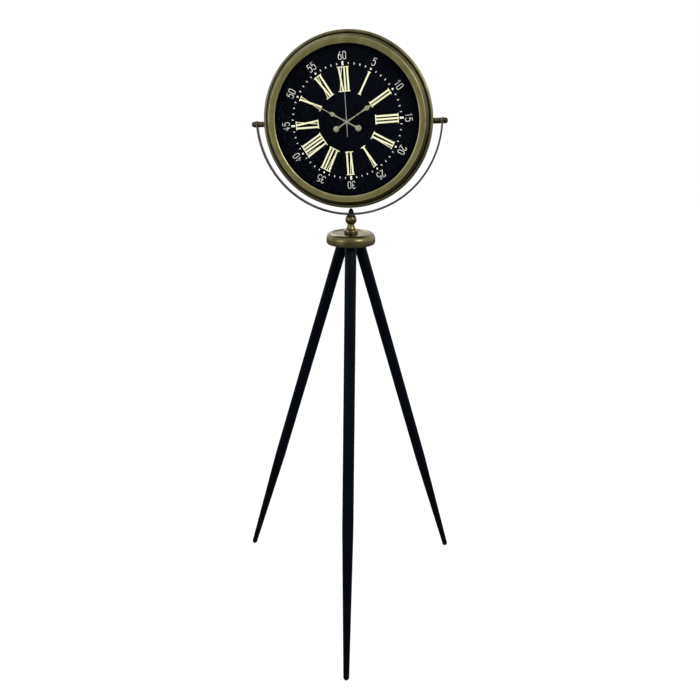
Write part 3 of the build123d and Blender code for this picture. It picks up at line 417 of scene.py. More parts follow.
head_low, cap_radius, crest_radius, crest_height = 1058, 61.7, 47.5, 1085
dish_radius, dish_height, dish_rings, cap_wall = 42, 1082.2, (30, 18), 1.2
shoulder_height, lip_in, lip_height, stud_bore, crest_swell = 1071, 1.6, 4.5, 3.3, 0.3
bend = cos(radians(45))
lip_top, cap_inside = head_low + lip_height, cap_radius - cap_wall
crest_under, dish_under = crest_height - cap_wall, dish_height - cap_wall
shoulder_point = (crest_radius + (cap_radius - crest_radius) * bend,
                  shoulder_height + (crest_height - shoulder_height) * bend)
inner_shoulder = (crest_radius + (cap_inside - crest_radius) * bend,
                  shoulder_height + (crest_under - shoulder_height) * bend)
crest_point = ((crest_radius + dish_radius) / 2, (crest_height + dish_height) / 2 + crest_swell)
cap_outline = [(cap_radius - lip_in, head_low)]
cap_outline += arc_points(cap_outline[-1], (cap_radius - lip_in / 4, head_low + lip_height / 2),
                          (cap_radius, lip_top), 5)
cap_outline += [(cap_radius, shoulder_height)]
cap_outline += arc_points(cap_outline[-1], shoulder_point, (crest_radius, crest_height), 14)
cap_outline += arc_points(cap_outline[-1], crest_point, (dish_radius, dish_height), 6)
cap_outline += [(ring, dish_height) for ring in dish_rings]
cap_outline += [(stud_bore, dish_height), (stud_bore, dish_under), (dish_radius, dish_under),
                (crest_radius, crest_under)]
cap_outline += arc_points(cap_outline[-1], inner_shoulder, (cap_inside, shoulder_height), 8)
cap_outline += [(cap_inside, lip_top), (cap_inside - lip_in, head_low), cap_outline[0]]
head_cap = turn_on_lathe("head_cap_spun", cap_outline, 96)
soften(head_cap, width=0.3)
set_down(head_cap, post_axis)
brown_brass = aged_brass("cap_brass", post_axis, (0.190, 0.164, 0.080), (0.120, 0.099, 0.046), 0.30,
                         wear=0.12)
fit(head_cap, brown_brass.paint, "stand", "head_cap")


# Post. A turned brass collar, bell and ball, stacked on the steel stud that runs up from the head.
# The thin washer on top is what the yoke turns on.
collar_radius, collar_top, collar_edge = 17.5, 1092.0, 2.2
bell_low, bell_high, bell_top, waist_share = 12.9, 8.4, 1107.0, 0.28
foot_chamfer, foot_chamfer_high, foot_rim, foot_step, foot_step_high = 0.4, 0.5, 1.6, 0.5, 2.0
neck_low, neck_ring, neck_ring_low, neck_ring_high = 1.3, 0.25, 1.0, 0.3
scribe_width, scribe_slope, scribe_depth = 0.7, 0.2, 0.3
ball_radius, ball_top = 14.3, 1127.4
washer_radius, washer_top, washer_chamfer = 9.9, 1128.6, 0.3
bore = 3.05
collar_bend = collar_edge * (1 - bend)
collar = [(bore, dish_height), (collar_radius - collar_edge, dish_height)]
collar += arc_points(collar[-1], (collar_radius - collar_bend, dish_height + collar_bend),
                     (collar_radius, dish_height + collar_edge), 5)
collar += [(collar_radius, collar_top - collar_edge)]
collar += arc_points(collar[-1], (collar_radius - collar_bend, collar_top - collar_bend),
                     (collar_radius - collar_edge, collar_top), 5)
collar += [(bell_low + scribe_width, collar_top),
           (bell_low + scribe_width - scribe_slope, collar_top - scribe_depth),
           (bell_low + scribe_slope, collar_top - scribe_depth), (bell_low, collar_top), (bore, collar_top),
           collar[0]]
bell_waist = (bell_high + (bell_low - bell_high) * waist_share, (collar_top + bell_top) / 2)
bell = [(bore, collar_top), (bell_low - foot_chamfer, collar_top), (bell_low, collar_top + foot_chamfer_high),
        (bell_low, collar_top + foot_rim), (bell_low - foot_step, collar_top + foot_step_high)]
bell += arc_points(bell[-1], bell_waist, (bell_high, bell_top - neck_low), 12)
bell += [(bell_high + neck_ring, bell_top - neck_ring_low),
         (bell_high + neck_ring, bell_top - neck_ring_high), (bell_high, bell_top), (bore, bell_top), bell[0]]
ball_flat = sqrt(ball_radius**2 - ((ball_top - bell_top) / 2) ** 2)
ball = [(bore, bell_top), (ball_flat, bell_top)]
ball += arc_points(ball[-1], (ball_radius, (ball_top + bell_top) / 2), (ball_flat, ball_top), 22)
ball += [(bore, ball_top), ball[0]]
washer_flat = washer_radius - washer_chamfer
washer = [(bore, ball_top), (washer_flat, ball_top), (washer_radius, ball_top + washer_chamfer),
          (washer_radius, washer_top - washer_chamfer), (washer_flat, washer_top), (bore, washer_top),
          (bore, ball_top)]
post_brass = aged_brass("post_brass", post_axis, (0.215, 0.180, 0.088), (0.110, 0.088, 0.044), 0.24)
for name, outline, node, slot_name in (
    ("post_collar_turned", collar, "post_collar", "antique_brass"),
    ("post_bell_turned", bell, "post_bell", "antique_brass"),
    ("post_ball_turned", ball, "post_ball", "antique_brass"),
    ("swivel_washer_turned", washer, "swivel_washer", "dark_bronze"),
):
    turned = turn_on_lathe(name, outline, 64)
    soften(turned, width=0.12)
    set_down(turned, post_axis)
    fit(turned, post_brass.paint, "stand", node)


# Cone nut. A turned brass nut, darkened nearly black, screwed on the stud's top end over the yoke's strap.
# A fine step parts its straight side from its cone, and its tip is rounded to clear the case.
nut_seat, nut_height, nut_radius, nut_top, nut_crown, nut_land = 1133.7, 11.2, 7.0, 3.6, 1.8, 3.0
nut_step, nut_step_depth, nut_swell = 0.6, 0.35, 0.6
crown_out_share, crown_down_share = 0.72, 0.3
nut_end, nut_blind = nut_seat + nut_height, nut_seat + nut_height / 2
side_low, side_top = nut_seat + nut_land, nut_end - nut_crown
side_point = ((nut_radius + nut_top) / 2 + nut_swell, (side_low + side_top) / 2)
crown_point = (nut_top * crown_out_share, nut_end - nut_crown * crown_down_share)
cone = [(0, nut_blind), (bore, nut_blind), (bore, nut_seat), (nut_radius, nut_seat),
        (nut_radius, side_low - nut_step), (nut_radius - nut_step_depth, side_low - nut_step / 2),
        (nut_radius - nut_step_depth, side_low)]
cone += arc_points(cone[-1], side_point, (nut_top, side_top), 8)
cone += arc_points(cone[-1], crown_point, (0, nut_end), 6)
cone_nut = turn_on_lathe("cone_nut_turned", cone, 48)
soften(cone_nut, width=0.12)
set_down(cone_nut, post_axis)
dark_brass = aged_brass("dark_brass", post_axis, (0.034, 0.030, 0.020), (0.012, 0.010, 0.007), 0.26)
fit(cone_nut, dark_brass.paint, "stand", "cone_nut")


# Yoke. One flat steel strap, 12 by 4 mm, bent on its flat to a half circle. Its round ends are drilled for
# the pivots, and it has a hole at the bottom for the post's stud. Its edges are broken, and it is finished
# in a dark bronze lacquer.
strap_height, pivot_rise = 1131.087, 216.9
yoke_turn, yoke_lean = radians(-5.1), radians(1.95)
swivel = post_axis @ Matrix.Translation((0, 0, strap_height * mm)) @ Matrix.Rotation(yoke_turn, 4, "Z")
yoke_place = swivel @ Matrix.Rotation(-yoke_lean, 4, "Y") @ Matrix.Translation((0, 0, pivot_rise * mm))
strap = from_solid("yoke_strap_bent", "yoke_strap", edge=0.5)
bronze = Finish("bronze_lacquer", 0.3, 0.85, yoke_place)
bronze.colours(bronze.noise(12, 5), (0.3, (0.070, 0.066, 0.056)), (0.7, (0.120, 0.112, 0.092)))
bronze.gloss(bronze.noise(5, 3), 0.22, 0.42)
bronze.relief(bronze.noise(1.6, 3), 0.03, 0.4)
fit(strap, bronze.paint, "yoke", "yoke_strap")


# Side pivots. On each side a steel stud through the case wall, a brass spacer turned with three round beads,
# and a domed nut outside the strap. Inside the case a washer and a hexagon nut hold the stud.
case_tilt, case_rise, case_forward = radians(-2.3), 1.5, 1.4
pivot_place = yoke_place @ Matrix.Rotation(case_tilt, 4, "X") @ Matrix.Rotation(radians(90), 4, "X")
case_place = pivot_place @ Matrix.Translation((0, case_rise * mm, case_forward * mm))
spacer_start, spacer_end, spacer_radius, spacer_waist, spacer_collar = 198.4, 218.75, 7.0, 6.0, 2.6
spacer_bore, spacer_chamfer, collar_round, bead_count = 2.8, 0.25, 0.3, 3
spacer_length = spacer_end - spacer_start
bead_pitch = (spacer_length - spacer_collar) / bead_count
spacer = [(spacer_bore, 0), (spacer_radius - spacer_chamfer, 0), (spacer_radius, spacer_chamfer),
          (spacer_radius, spacer_collar - collar_round), (spacer_waist, spacer_collar)]
for i in range(bead_count):
    low = spacer_collar + i * bead_pitch
    bead_crest, bead_end = (spacer_radius, low + bead_pitch / 2), (spacer_waist, low + bead_pitch)
    spacer += arc_points(spacer[-1], bead_crest, bead_end, 9)
spacer += [(spacer_bore, spacer_length), spacer[0]]
dome_start, dome_side, dome_length, dome_bore, dome_blind, dome_chamfer = 223.55, 4.2, 11.2, 2.5, 5, 0.3
dome_groove_low, dome_groove_floor, dome_groove_high = 1.2, 0.9, 0.5
dome_waist = spacer_radius - dome_chamfer
dome = [(0, dome_blind), (dome_bore, dome_blind), (dome_bore, 0), (dome_waist, 0),
        (spacer_radius, dome_chamfer), (spacer_radius, dome_side - dome_groove_low),
        (dome_waist, dome_side - dome_groove_floor), (dome_waist, dome_side - dome_groove_high),
        (spacer_radius, dome_side)]
rise = dome_length - dome_side
curve = (spacer_radius**2 + rise**2) / (2 * rise)
half = atan2(spacer_radius, curve - rise) / 2
dome_point = (curve * sin(half), dome_length - curve + curve * cos(half))
dome += arc_points(dome[-1], dome_point, (0, dome_length), 12)
for sign, side in ((-1, "left"), (1, "right")):
    outward = pivot_place @ Matrix.Rotation(radians(90 * sign), 4, "Y")
    pivot_brass = aged_brass(f"pivot_brass_{side}", outward, (0.105, 0.088, 0.045), (0.026, 0.021, 0.013),
                             0.24)
    for kind, outline, start in (("pivot_spacer", spacer, spacer_start), ("dome_nut", dome, dome_start)):
        turned = turn_on_lathe(f"{kind}_{side}_turned", outline, 48)
        soften(turned, width=0.1)
        set_down(turned, outward @ Matrix.Translation((0, 0, start * mm)))
        fit(turned, pivot_brass.paint, "case", f"{kind}_{side}")
for node in ("pivot_stud_left", "pivot_stud_right", "pivot_washers"):
    paint_solid(node, zinc_plate.paint)
pivot_nuts = from_solid("pivot_nuts_formed", "pivot_nuts", edge=0.3)
fit(pivot_nuts, zinc_plate.paint, "case", "pivot_nuts")


# Bezel. Spun from brass sheet: a thin inner lip, a broad satin ring with a bright crest, four small ribs down
# its flank, a dark groove and a round bead at the back that slips over the drum. It is aged olive with a
# little rubbed wear. Its colour carries painted highlights on the lip and the crest, painted shade down the
# flank and a greyer, dimmer tone on the bead.
opening, crest, groove, rim = 168, 182.4, 190.6, 200
lip_front, crest_front, steps_back, bead_depth, bead_back = 48.1, 47.1, 25, 17.5, 7
lip_steps = ((0, 3.2), (0.4, 2.4), (1.9, 1.5), (2.4, 1.5))
ring_out, ring_down, ring_end, ring_end_up = 1, 0.75, 1.3, 0.3
crest_in, crest_up, crest_out, crest_down = 0.5, 0.35, 0.15, 0.5
rib_count, rib_swell, rib_lift, rib_margin = 4, 1.1, 0.4, 0.8
notch_out, notch_top, notch_in, notch_rise = 0.1, 0.9, 0.9, 0.7
groove_in, groove_depth, bezel_wall, rim_chamfer = 1.6, 3.4, 1.4, 0.4
inner_foot, inner_flank, inner_flank_down = 188, 187.4, 4.6
crest_under_in, crest_under_down, shelf_in, shelf_down = 2.6, 3.6, 4.2, 5.2
bead_radius = (rim - groove) / 2
foot_angle = radians(160)


def on_bead(reach, angle):
    """A point on the round bead or on its inner wall."""
    return (rim - bead_radius + reach * cos(angle), bead_depth + reach * sin(angle))


bezel = [(opening + out, lip_front - down) for out, down in lip_steps]
bezel += arc_points(bezel[-1], ((opening + crest) / 2 + ring_out, lip_front - ring_down),
                    (crest - ring_end, crest_front + ring_end_up), 14)
bezel += arc_points(bezel[-1], (crest - crest_in, crest_front + crest_up),
                    (crest + crest_out, crest_front - crest_down), 6)
run, drop = (groove - rib_margin - crest) / rib_count, (crest_front - steps_back) / rib_count
for i in range(rib_count):
    start = (crest + i * run, crest_front - i * drop)
    end = (start[0] + run, start[1] - drop)
    first = bezel[-1] if i == 0 else start
    swell = (start[0] + run / 2 + rib_swell, start[1] - drop / 2 + rib_lift)
    bezel += arc_points(first, swell, (end[0] + notch_out, end[1] + notch_top), 8)
    bezel += [(end[0] - notch_in, end[1] + notch_rise), (end[0] - notch_in, end[1])]
bezel += [(groove - groove_in, steps_back - groove_depth), on_bead(bead_radius, foot_angle)]
bezel += arc_points(bezel[-1], on_bead(bead_radius, radians(90)), on_bead(bead_radius, 0), 18)
inner = bead_radius - bezel_wall
bezel += [(rim, bead_back + rim_chamfer), (rim - rim_chamfer, bead_back), (rim - bezel_wall, bead_back),
          on_bead(inner, 0)]
bezel += arc_points(bezel[-1], on_bead(inner, radians(90)), on_bead(inner, foot_angle), 10)
bezel += [(inner_foot, bead_depth), (inner_flank, steps_back - inner_flank_down),
          (crest - crest_under_in, crest_front - crest_under_down),
          (crest - shelf_in, lip_front - shelf_down), (opening, lip_front - shelf_down), bezel[0]]
bezel_ring = turn_on_lathe("bezel_spun", bezel, 192)
soften(bezel_ring, width=0.1, sharper_than=50)
set_down(bezel_ring, case_place)
olive_brass = aged_brass("olive_brass", case_place, (0.315, 0.294, 0.120), (0.235, 0.219, 0.085), 0.33,
                         lathe_lines=0.3, wear=0.10)
reach = olive_brass.nodes.new("ShaderNodeMapRange")
reach.inputs["From Min"].default_value = opening * mm
reach.inputs["From Max"].default_value = rim * mm
olive_brass.links.new(olive_brass.radius, reach.inputs["Value"])
# Painted light by radius: the lip and crest bands are painted highlights, the flank band is painted shade,
# and the bead band is a greyer, dimmer tone.
lip_painted_highlight, ring_tone, crest_painted_highlight = (1.5, 1.5, 1.9), (0.96, 0.96, 0.96), (1.5, 1.5, 1.8)
painted_light_bands = olive_brass.ramp(reach.outputs["Result"], (0.0, lip_painted_highlight), (0.08, (1.4, 1.4, 1.7)), (0.10, ring_tone),
                         (0.385, ring_tone), (0.41, crest_painted_highlight), (0.445, crest_painted_highlight),
                         (0.465, (0.30, 0.28, 0.29)), (0.69, (0.26, 0.23, 0.24)), (0.75, (0.60, 0.60, 0.76)))
# Multiplies the painted highlight and shade bands into the brass colour.
light_and_shade_mix = olive_brass.nodes.new("ShaderNodeMix")
light_and_shade_mix.data_type, light_and_shade_mix.blend_type = "RGBA", "MULTIPLY"
light_and_shade_mix.inputs["Factor"].default_value = 1.0
first_colour, second_colour, mixed_colour = light_and_shade_mix.inputs[6], light_and_shade_mix.inputs[7], light_and_shade_mix.outputs[2]
base = olive_brass.shader.inputs["Base Color"]
olive_brass.links.new(base.links[0].from_socket, first_colour)
olive_brass.links.new(painted_light_bands, second_colour)
olive_brass.links.new(mixed_colour, base)
fit(bezel_ring, olive_brass.paint, "case", "bezel")


# Drum. A drawn steel hoop with an inward flange at each end, lacquered dark brass. The bezel slips over its
# front, and the cover is screwed to the flange at its back.
drum_radius, drum_wall, drum_front, drum_back = 198.4, 1.2, 17, -34
front_flange, back_flange, flange_set = 160, 186, 1
front_round, back_round, corner_share = 0.8, 0.6, 0.3
front_cut, back_cut = front_round * corner_share, back_round * corner_share
drum_inside = drum_radius - drum_wall
flange_low, flange_high = drum_back + flange_set, drum_back + flange_set + drum_wall
drum = [(front_flange, drum_front), (drum_radius - front_round, drum_front)]
drum += arc_points(drum[-1], (drum_radius - front_cut, drum_front - front_cut),
                   (drum_radius, drum_front - front_round), 4)
drum += [(drum_radius, 0), (drum_radius, drum_back + back_round)]
drum += arc_points(drum[-1], (drum_radius - back_cut, drum_back + back_cut),
                   (drum_radius - back_round, drum_back), 4)
drum += [(drum_inside, drum_back), (drum_inside, flange_low), (back_flange, flange_low),
         (back_flange, flange_high), (drum_inside, flange_high), (drum_inside, drum_front - drum_wall),
         (front_flange, drum_front - drum_wall), drum[0]]
drum_shell = turn_on_lathe("case_drum_drawn", drum, 144)
soften(drum_shell, width=0.15, sharper_than=50)
set_down(drum_shell, case_place)
lacquer = Finish("drum_lacquer", 0.34, 0.9, case_place)
lacquer.colours(lacquer.noise(30, 6, distortion=0.5), (0.3, (0.052, 0.046, 0.024)),
                (0.7, (0.088, 0.078, 0.038)))
lacquer.gloss(lacquer.noise(10, 4), 0.26, 0.44)
lacquer.relief(lacquer.noise(1.2, 3, (1, 1, 0.05)), 0.03, 0.4)
lacquer.relief(lacquer.noise(25, 2), 0.25, 0.3)
fit(drum_shell, lacquer.paint, "case", "case_drum")


# Back cover. A pressed steel disc in the same lacquer, held by six round-headed zinc-plated screws. A round
# hole in it leaves the movement within reach, and its broad flat is shaded as one plane.
cover = from_solid("back_cover_pressed", "back_cover", edge=0.25)
only(cover)
even = cover.modifiers.new("even shading", "WEIGHTED_NORMAL")
even.keep_sharp = True
bpy.ops.object.modifier_apply(modifier=even.name)
fit(cover, lacquer.paint, "case", "back_cover")
cover_screws = from_solid("cover_screws_headed", "cover_screws", edge=0.5)
fit(cover_screws, zinc_plate.paint, "case", "cover_screws")


# Glass. A flat clear pane with ground edges, held behind the bezel's lip. It casts next to no shadow on the
# dial, and bends and mirrors next to no light, because no reflection shows in it.
glass_back, glass_thickness, glass_radius, glass_ring = 40.9, 2.0, 174, 100
ground_in, ground_rise = 0.4, 0.3
glass_front, glass_flat = glass_back + glass_thickness, glass_radius - ground_in
glass = turn_on_lathe("glass_pane", [
    (0, glass_back), (glass_ring, glass_back), (glass_flat, glass_back),
    (glass_radius, glass_back + ground_rise), (glass_radius, glass_front - ground_rise),
    (glass_flat, glass_front), (glass_ring, glass_front), (0, glass_front),
], 128)
set_down(glass, case_place)
only(glass)
bpy.ops.object.shade_smooth_by_angle(angle=radians(30))
clear = Finish("clear_glass", 0.0)
clear.shader.inputs["Base Color"].default_value = (0.98, 0.99, 0.99, 1)
clear.shader.inputs["Transmission Weight"].default_value = 1.0
clear.shader.inputs["IOR"].default_value = 1.01
clear.relief(clear.noise(90, 1), 0.004, 0.02)
lit_through = clear.nodes.new("ShaderNodeBsdfTransparent")
light_path = clear.nodes.new("ShaderNodeLightPath")
no_shadow = clear.nodes.new("ShaderNodeMixShader")
clear.links.new(light_path.outputs["Is Shadow Ray"], no_shadow.inputs["Fac"])
clear.links.new(clear.shader.outputs[0], no_shadow.inputs[1])
clear.links.new(lit_through.outputs[0], no_shadow.inputs[2])
clear.links.new(no_shadow.outputs[0], clear.nodes["Material Output"].inputs["Surface"])
fit(glass, clear.paint, "case", "glass")


# Dial. A thin steel sheet with a near-black matt enamel, bored at the middle for the movement's bush.
# Its slight blue tint is a painted reflection of the glass.
# It hangs a little turned on its board, as the photograph shows.
dial_roll = radians(3.1)
dial_bore, dial_radius, dial_front, dial_thickness, dial_rings = 4.3, 176, 33, 0.8, (150, 100, 50)
dial_back = dial_front - dial_thickness
dial_place = case_place @ Matrix.Rotation(dial_roll, 4, "Z")
enamel = Finish("dial_enamel_blue_reflection", 0.55, 0.0, dial_place)
# Near-black enamel, with a slight blue tint that is painted reflection of the glass.
enamel.colours(enamel.noise(70, 4), (0.3, (0.0006, 0.0011, 0.0030)), (0.7, (0.0011, 0.0020, 0.0046)))
enamel.gloss(enamel.noise(40, 3), 0.45, 0.62)
enamel.relief(enamel.noise(0.7, 3), 0.012, 0.5)
enamel.shader.inputs["Specular IOR Level"].default_value = 0.03
dial = turn_on_lathe("dial_sheet", [
    (dial_bore, dial_back), (dial_radius, dial_back), (dial_radius, dial_front),
    *[(ring, dial_front) for ring in dial_rings], (dial_bore, dial_front), (dial_bore, dial_back),
], 128)
soften(dial, width=0.1)
set_down(dial, dial_place)
fit(dial, enamel.paint, "case", "dial")


# Dial surround. A metal ring, painted matt black, that stands on the dial round its edge and carries
# the glass. Its inner corner is chamfered towards the glass. Its black also serves as painted shadow
# under the bezel's lip.
surround_radius, surround_chamfer = 170, 0.6
surround = turn_on_lathe("dial_surround_ring", [
    (surround_radius, dial_front), (glass_radius, dial_front), (glass_radius, glass_back),
    (surround_radius + surround_chamfer, glass_back), (surround_radius, glass_back - surround_chamfer),
    (surround_radius, dial_front),
], 128)
soften(surround, width=0.2)
set_down(surround, case_place)
# Near black: the ring's own matt paint, and painted shadow where the bezel's lip shades the dial's edge.
black_and_shadow_ring = Finish("surround_black_and_shadow", 0.7, 0.0, case_place)
black_and_shadow_ring.colours(black_and_shadow_ring.noise(3, 4), (0.3, (0.0016, 0.0018, 0.0024)), (0.7, (0.0042, 0.0046, 0.0056)))
black_and_shadow_ring.relief(black_and_shadow_ring.noise(0.8, 3), 0.05, 0.5)
black_and_shadow_ring.shader.inputs["Specular IOR Level"].default_value = 0.03
fit(surround, black_and_shadow_ring.paint, "case", "dial_surround")


# Dial board. A fibreboard disc behind the dial, on six turned brass pillars with a zinc-plated screw in each.
# The movement's washer and nut, in black oxide, clamp the dial and the board.
fibre = Finish("fibreboard", 0.8, 0.0, case_place)
fibre.colours(fibre.noise(1.8, 8, (1, 1, 3)), (0.25, (0.20, 0.115, 0.055)), (0.55, (0.33, 0.21, 0.115)),
              (0.8, (0.42, 0.29, 0.17)))
fibre.relief(fibre.noise(0.9, 6), 0.15, 0.6)
plated_brass = Finish("plated_brass", 0.25, 1.0, case_place)
plated_brass.colours(plated_brass.noise(4, 4), (0.3, (0.62, 0.46, 0.20)), (0.7, (0.80, 0.64, 0.32)))
plated_brass.gloss(plated_brass.noise(2, 3), 0.18, 0.34)
plated_brass.relief(plated_brass.noise(0.5, 2, (1, 1, 4)), 0.02, 0.4)
black_oxide = Finish("black_oxide", 0.45, 0.3, case_place)
black_oxide.colours(black_oxide.noise(2, 4), (0.3, (0.006, 0.006, 0.007)), (0.7, (0.014, 0.014, 0.016)))
black_oxide.gloss(black_oxide.noise(1.5, 3), 0.38, 0.55)
black_oxide.relief(black_oxide.noise(0.4, 3), 0.02, 0.4)
for node, made, edge, finish, slot_name in (
    ("dial_board", "cut", 0.3, fibre, "board_brown"),
    ("dial_pillars", "turned", 0.3, plated_brass, "plated_brass"),
    ("dial_washer", "cut", 0.1, black_oxide, "dial_black"),
    ("dial_nut", "formed", 0.25, black_oxide, "dial_black"),
    ("pillar_screws", "headed", 0.4, zinc_plate, "zinc_steel"),
):
    piece = from_solid(f"{node}_{made}", node, edge)
    fit(piece, finish.paint, "case", node)


# Hour numerals. Twelve raised roman numerals, cut with sloping sides and glued to the dial.
# Their faces are cream enamel, and their sides are gilt.
cream = Finish("cream_enamel", 0.42, 0.0, dial_place)
cream.colours(cream.noise(5, 4), (0.3, (0.90, 0.85, 0.53)), (0.7, (0.98, 0.95, 0.68)))
cream.relief(cream.noise(0.8, 3), 0.02, 0.4)
gilt = Finish("gilt_sides", 0.3, 0.7, dial_place)
gilt.colours(gilt.noise(3, 4), (0.3, (0.33, 0.27, 0.09)), (0.7, (0.52, 0.44, 0.17)))
gilt.relief(gilt.noise(0.6, 2), 0.02, 0.4)
numerals = from_solid("hour_numerals_cut", "hour_numerals", edge=0.7, sharper_than=60, segments=1)
fit(numerals, cream.paint, "case", "hour_numerals")
numerals.data.materials.append(gilt.paint)
facing = dial_place.to_3x3() @ Vector((0, 0, 1))
faces_front = 0.95
for face in numerals.data.polygons:
    face.material_index = 0 if face.normal.dot(facing) > faces_front else 1


# Minute marks. Thick white enamel printed on the dial at every minute: bars at the quarters and dots
# at the other fives. The minutes between them have short dashes with round ends.
print_white = Finish("mark_enamel", 0.5, 0.0, dial_place)
print_white.colours(print_white.noise(2, 4), (0.3, (0.80, 0.80, 0.72)), (0.7, (0.92, 0.92, 0.86)))
print_white.relief(print_white.noise(0.6, 3), 0.02, 0.4)
marks = from_solid("minute_marks_printed", "minute_marks", edge=0.12)
fit(marks, print_white.paint, "case", "minute_marks")


# Minute figures. Thin round strokes of the same enamel outside the marks, 5 to 60, their feet to the centre.
# Each figure is drawn in a box one high and one wide, and then set to its width and height on the dial.
figure_low, figure_high, figure_width, figure_gap = 135.4, 152.6, 8.0, 2.3
stroke, stroke_flatness = 0.62, 0.45
figure_paths = {
    "0": [[(0.5, 1), (0.12, 1), (0, 0.8), (0, 0.5), (0, 0.2), (0.12, 0), (0.5, 0), (0.88, 0), (1, 0.2),
           (1, 0.5), (1, 0.8), (0.88, 1), (0.5, 1)]],
    "1": [[(0.2, 0.76), (0.62, 1), (0.62, 0)]],
    "2": [[(0.05, 0.74), (0.08, 0.98), (0.5, 1.04), (0.95, 0.98), (1, 0.66), (0.7, 0.42), (0.3, 0.2), (0, 0)],
          [(0, 0), (1, 0)]],
    "3": [[(0.05, 0.84), (0.2, 1.03), (0.6, 1.04), (0.95, 0.92), (0.92, 0.6), (0.62, 0.54), (0.4, 0.54)],
          [(0.4, 0.54), (0.7, 0.54), (1.04, 0.44), (1.02, 0.08), (0.6, -0.04), (0.2, -0.03), (0, 0.18)]],
    "4": [[(0.72, 0), (0.72, 1), (0, 0.3), (1, 0.3)]],
    "5": [[(0.95, 1), (0.14, 1), (0.06, 0.56)],
          [(0.06, 0.56), (0.3, 0.66), (0.72, 0.68), (1.06, 0.52), (1.02, 0.06), (0.6, -0.04), (0.22, -0.03),
           (0, 0.14)]],
    "6": [[(0.8, 1), (0.4, 0.82), (0.02, 0.5), (0, 0.26), (0.06, 0), (0.5, -0.02), (0.94, 0), (1, 0.3),
           (0.92, 0.58), (0.5, 0.62), (0.12, 0.54), (0.02, 0.36)]],
}
straight = {("1", 0), ("2", 1), ("4", 0), ("5", 0)}
figures = []
for minute in range(5, 65, 5):
    word = str(minute)
    span = len(word) * figure_width + (len(word) - 1) * figure_gap
    around_dial = Matrix.Rotation(radians(-6 * minute), 4, "Z")
    on_dial = dial_place @ Matrix.Translation((0, 0, dial_front * mm)) @ around_dial
    for place_in_word, digit in enumerate(word):
        left = -span / 2 + place_in_word * (figure_width + figure_gap)
        for path_number, path in enumerate(figure_paths[digit]):
            curve_data = bpy.data.curves.new("figure_stroke", "CURVE")
            curve_data.dimensions = "3D"
            curve_data.bevel_depth = stroke * mm
            curve_data.bevel_resolution = 2
            curve_data.resolution_u = 5
            curve_data.use_fill_caps = True
            kind = "POLY" if (digit, path_number) in straight else "NURBS"
            spline = curve_data.splines.new(kind)
            spline.points.add(len(path) - 1)
            for point, (x, y) in zip(spline.points, path):
                high = figure_low + stroke + (figure_high - figure_low - 2 * stroke) * y
                point.co = ((left + stroke + (figure_width - 2 * stroke) * x) * mm, high * mm, 0, 1)
            if kind == "NURBS":
                spline.order_u = 3
                spline.use_endpoint_u = True
            figure = bpy.data.objects.new("figure_stroke", curve_data)
            bpy.context.scene.collection.objects.link(figure)
            only(figure)
            bpy.ops.object.convert(target="MESH")
            figure = bpy.context.active_object
            set_down(figure, on_dial @ Matrix.Diagonal((1, 1, stroke_flatness, 1)))
            figures.append(figure)
only(figures[0])
for figure in figures:
    figure.select_set(True)
bpy.ops.object.join()
minute_figures = bpy.context.active_object
minute_figures.name = "minute_figures"
bpy.ops.object.shade_smooth_by_angle(angle=radians(50))
fit(minute_figures, print_white.paint, "case")


# Hands. Stamped brass hour and minute hands with a spade and a round counterweight, toned a greyish old gold,
# and a thin grey sweep second hand over them. Each is pressed on its own arbor.
old_gold = Finish("old_gold", 0.34, 0.85, dial_place)
old_gold.colours(old_gold.noise(6, 5), (0.3, (0.36, 0.34, 0.22)), (0.7, (0.50, 0.48, 0.34)))
old_gold.gloss(old_gold.noise(4, 3), 0.26, 0.42)
old_gold.relief(old_gold.noise(0.7, 3, (4, 0.4, 1)), 0.02, 0.4)
grey_enamel = Finish("grey_enamel", 0.4, 0.3, dial_place)
grey_enamel.colours(grey_enamel.noise(5, 4), (0.3, (0.30, 0.30, 0.28)), (0.7, (0.42, 0.42, 0.39)))
grey_enamel.relief(grey_enamel.noise(0.8, 3), 0.02, 0.4)
for body, finish, slot_name in (
    ("hour", old_gold, "old_gold"),
    ("minute", old_gold, "old_gold"),
    ("second", grey_enamel, "grey_enamel"),
):
    hand = from_solid(f"{body}_hand_stamped", f"{body}_hand", edge=0.14)
    fit(hand, finish.paint, body, f"{body}_hand")


# Movement housing. A black moulded box in two halves that snap together behind the dial board,
# with the battery in the tray of the back half. The battery has a dark printed film.
black_moulding = Finish("black_moulding", 0.5, 0.0, dial_place)
black_moulding.colours(black_moulding.noise(8, 4), (0.3, (0.014, 0.014, 0.016)), (0.7, (0.026, 0.026, 0.029)))
black_moulding.gloss(black_moulding.noise(5, 3), 0.4, 0.6)
black_moulding.relief(black_moulding.noise(0.5, 4), 0.03, 0.7)
cell_film = Finish("cell_film", 0.25, 0.4, dial_place)
cell_film.colours(cell_film.noise(20, 2), (0.3, (0.07, 0.08, 0.10)), (0.7, (0.11, 0.12, 0.15)))
cell_film.relief(cell_film.noise(3, 2), 0.02, 0.4)
for node, finish, edge, slot_name in (
    ("movement_front", black_moulding, 0.3, "movement_plastic"),
    ("movement_back", black_moulding, 0.3, "movement_plastic"),
    ("battery", cell_film, 0.5, "cell_jacket"),
):
    piece = from_solid(node + "_moulded", node, edge)
    fit(piece, finish.paint, "case", node)


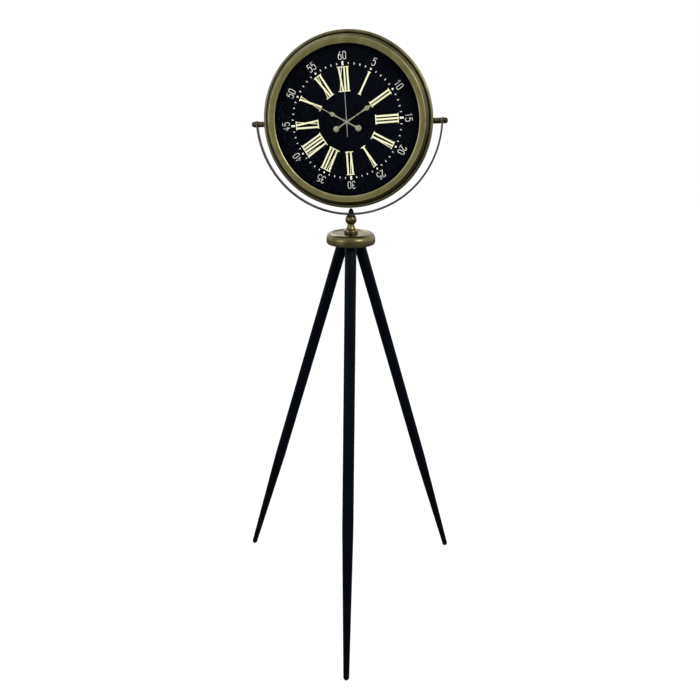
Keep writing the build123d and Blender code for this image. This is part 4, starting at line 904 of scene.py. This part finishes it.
# Setting knob and wheels. Wheels moulded in a pale plastic turn inside the housing. The ribbed knob, of the
# same plastic, sticks out of the back half and sets the hands.
pale_moulding = Finish("pale_moulding", 0.45, 0.0, dial_place)
pale_moulding.colours(pale_moulding.noise(3, 4), (0.3, (0.70, 0.69, 0.62)), (0.7, (0.82, 0.81, 0.75)))
pale_moulding.relief(pale_moulding.noise(0.4, 3), 0.01, 0.5)
pale_moulding.shader.inputs["Subsurface Weight"].default_value = 0.05
knob = from_solid("setting_knob_moulded", "setting_knob", edge=0.12)
fit(knob, pale_moulding.paint, "setting_knob", "setting_knob")
for node in ("second_wheel", "third_wheel", "centre_wheel", "intermediate_wheel",
             "minute_wheel", "minute_tube", "hour_wheel"):
    paint_solid(node, pale_moulding.paint)


# Pad, contacts and drive. A soft rubber pad between housing and board, plated contacts for the battery, and
# inside the housing a circuit board, a copper coil on a plated stator, and a sintered magnet rotor.
pad_rubber = Finish("pad_rubber", 0.85, 0.0, dial_place)
pad_rubber.colours(pad_rubber.noise(2, 5), (0.3, (0.012, 0.012, 0.012)), (0.7, (0.028, 0.028, 0.028)))
pad_rubber.relief(pad_rubber.noise(0.6, 5), 0.06, 0.7)
resist_green = Finish("resist_green", 0.4, 0.0, dial_place)
resist_green.colours(resist_green.noise(3, 5), (0.35, (0.010, 0.07, 0.028)), (0.6, (0.022, 0.12, 0.05)))
resist_green.relief(resist_green.noise(1.2, 2), 0.05, 0.6)
copper_wire = Finish("copper_wire", 0.3, 0.9, dial_place)
copper_wire.colours(copper_wire.noise(1, 4, (0.2, 8, 1)), (0.3, (0.40, 0.12, 0.03)),
                    (0.7, (0.68, 0.26, 0.09)))
copper_wire.relief(copper_wire.noise(0.35, 2, (0.1, 3, 0.1)), 0.1, 0.8)
sintered = Finish("sintered_grey", 0.5, 0.6, dial_place)
sintered.colours(sintered.noise(1, 5), (0.3, (0.07, 0.07, 0.08)), (0.7, (0.14, 0.14, 0.15)))
sintered.relief(sintered.noise(0.3, 4), 0.03, 0.6)
for node, finish in (
    ("rubber_pad", pad_rubber),
    ("battery_contacts", zinc_plate),
    ("circuit_board", resist_green),
    ("coil", copper_wire),
    ("stator", zinc_plate),
    ("rotor", sintered),
):
    paint_solid(node, finish.paint)
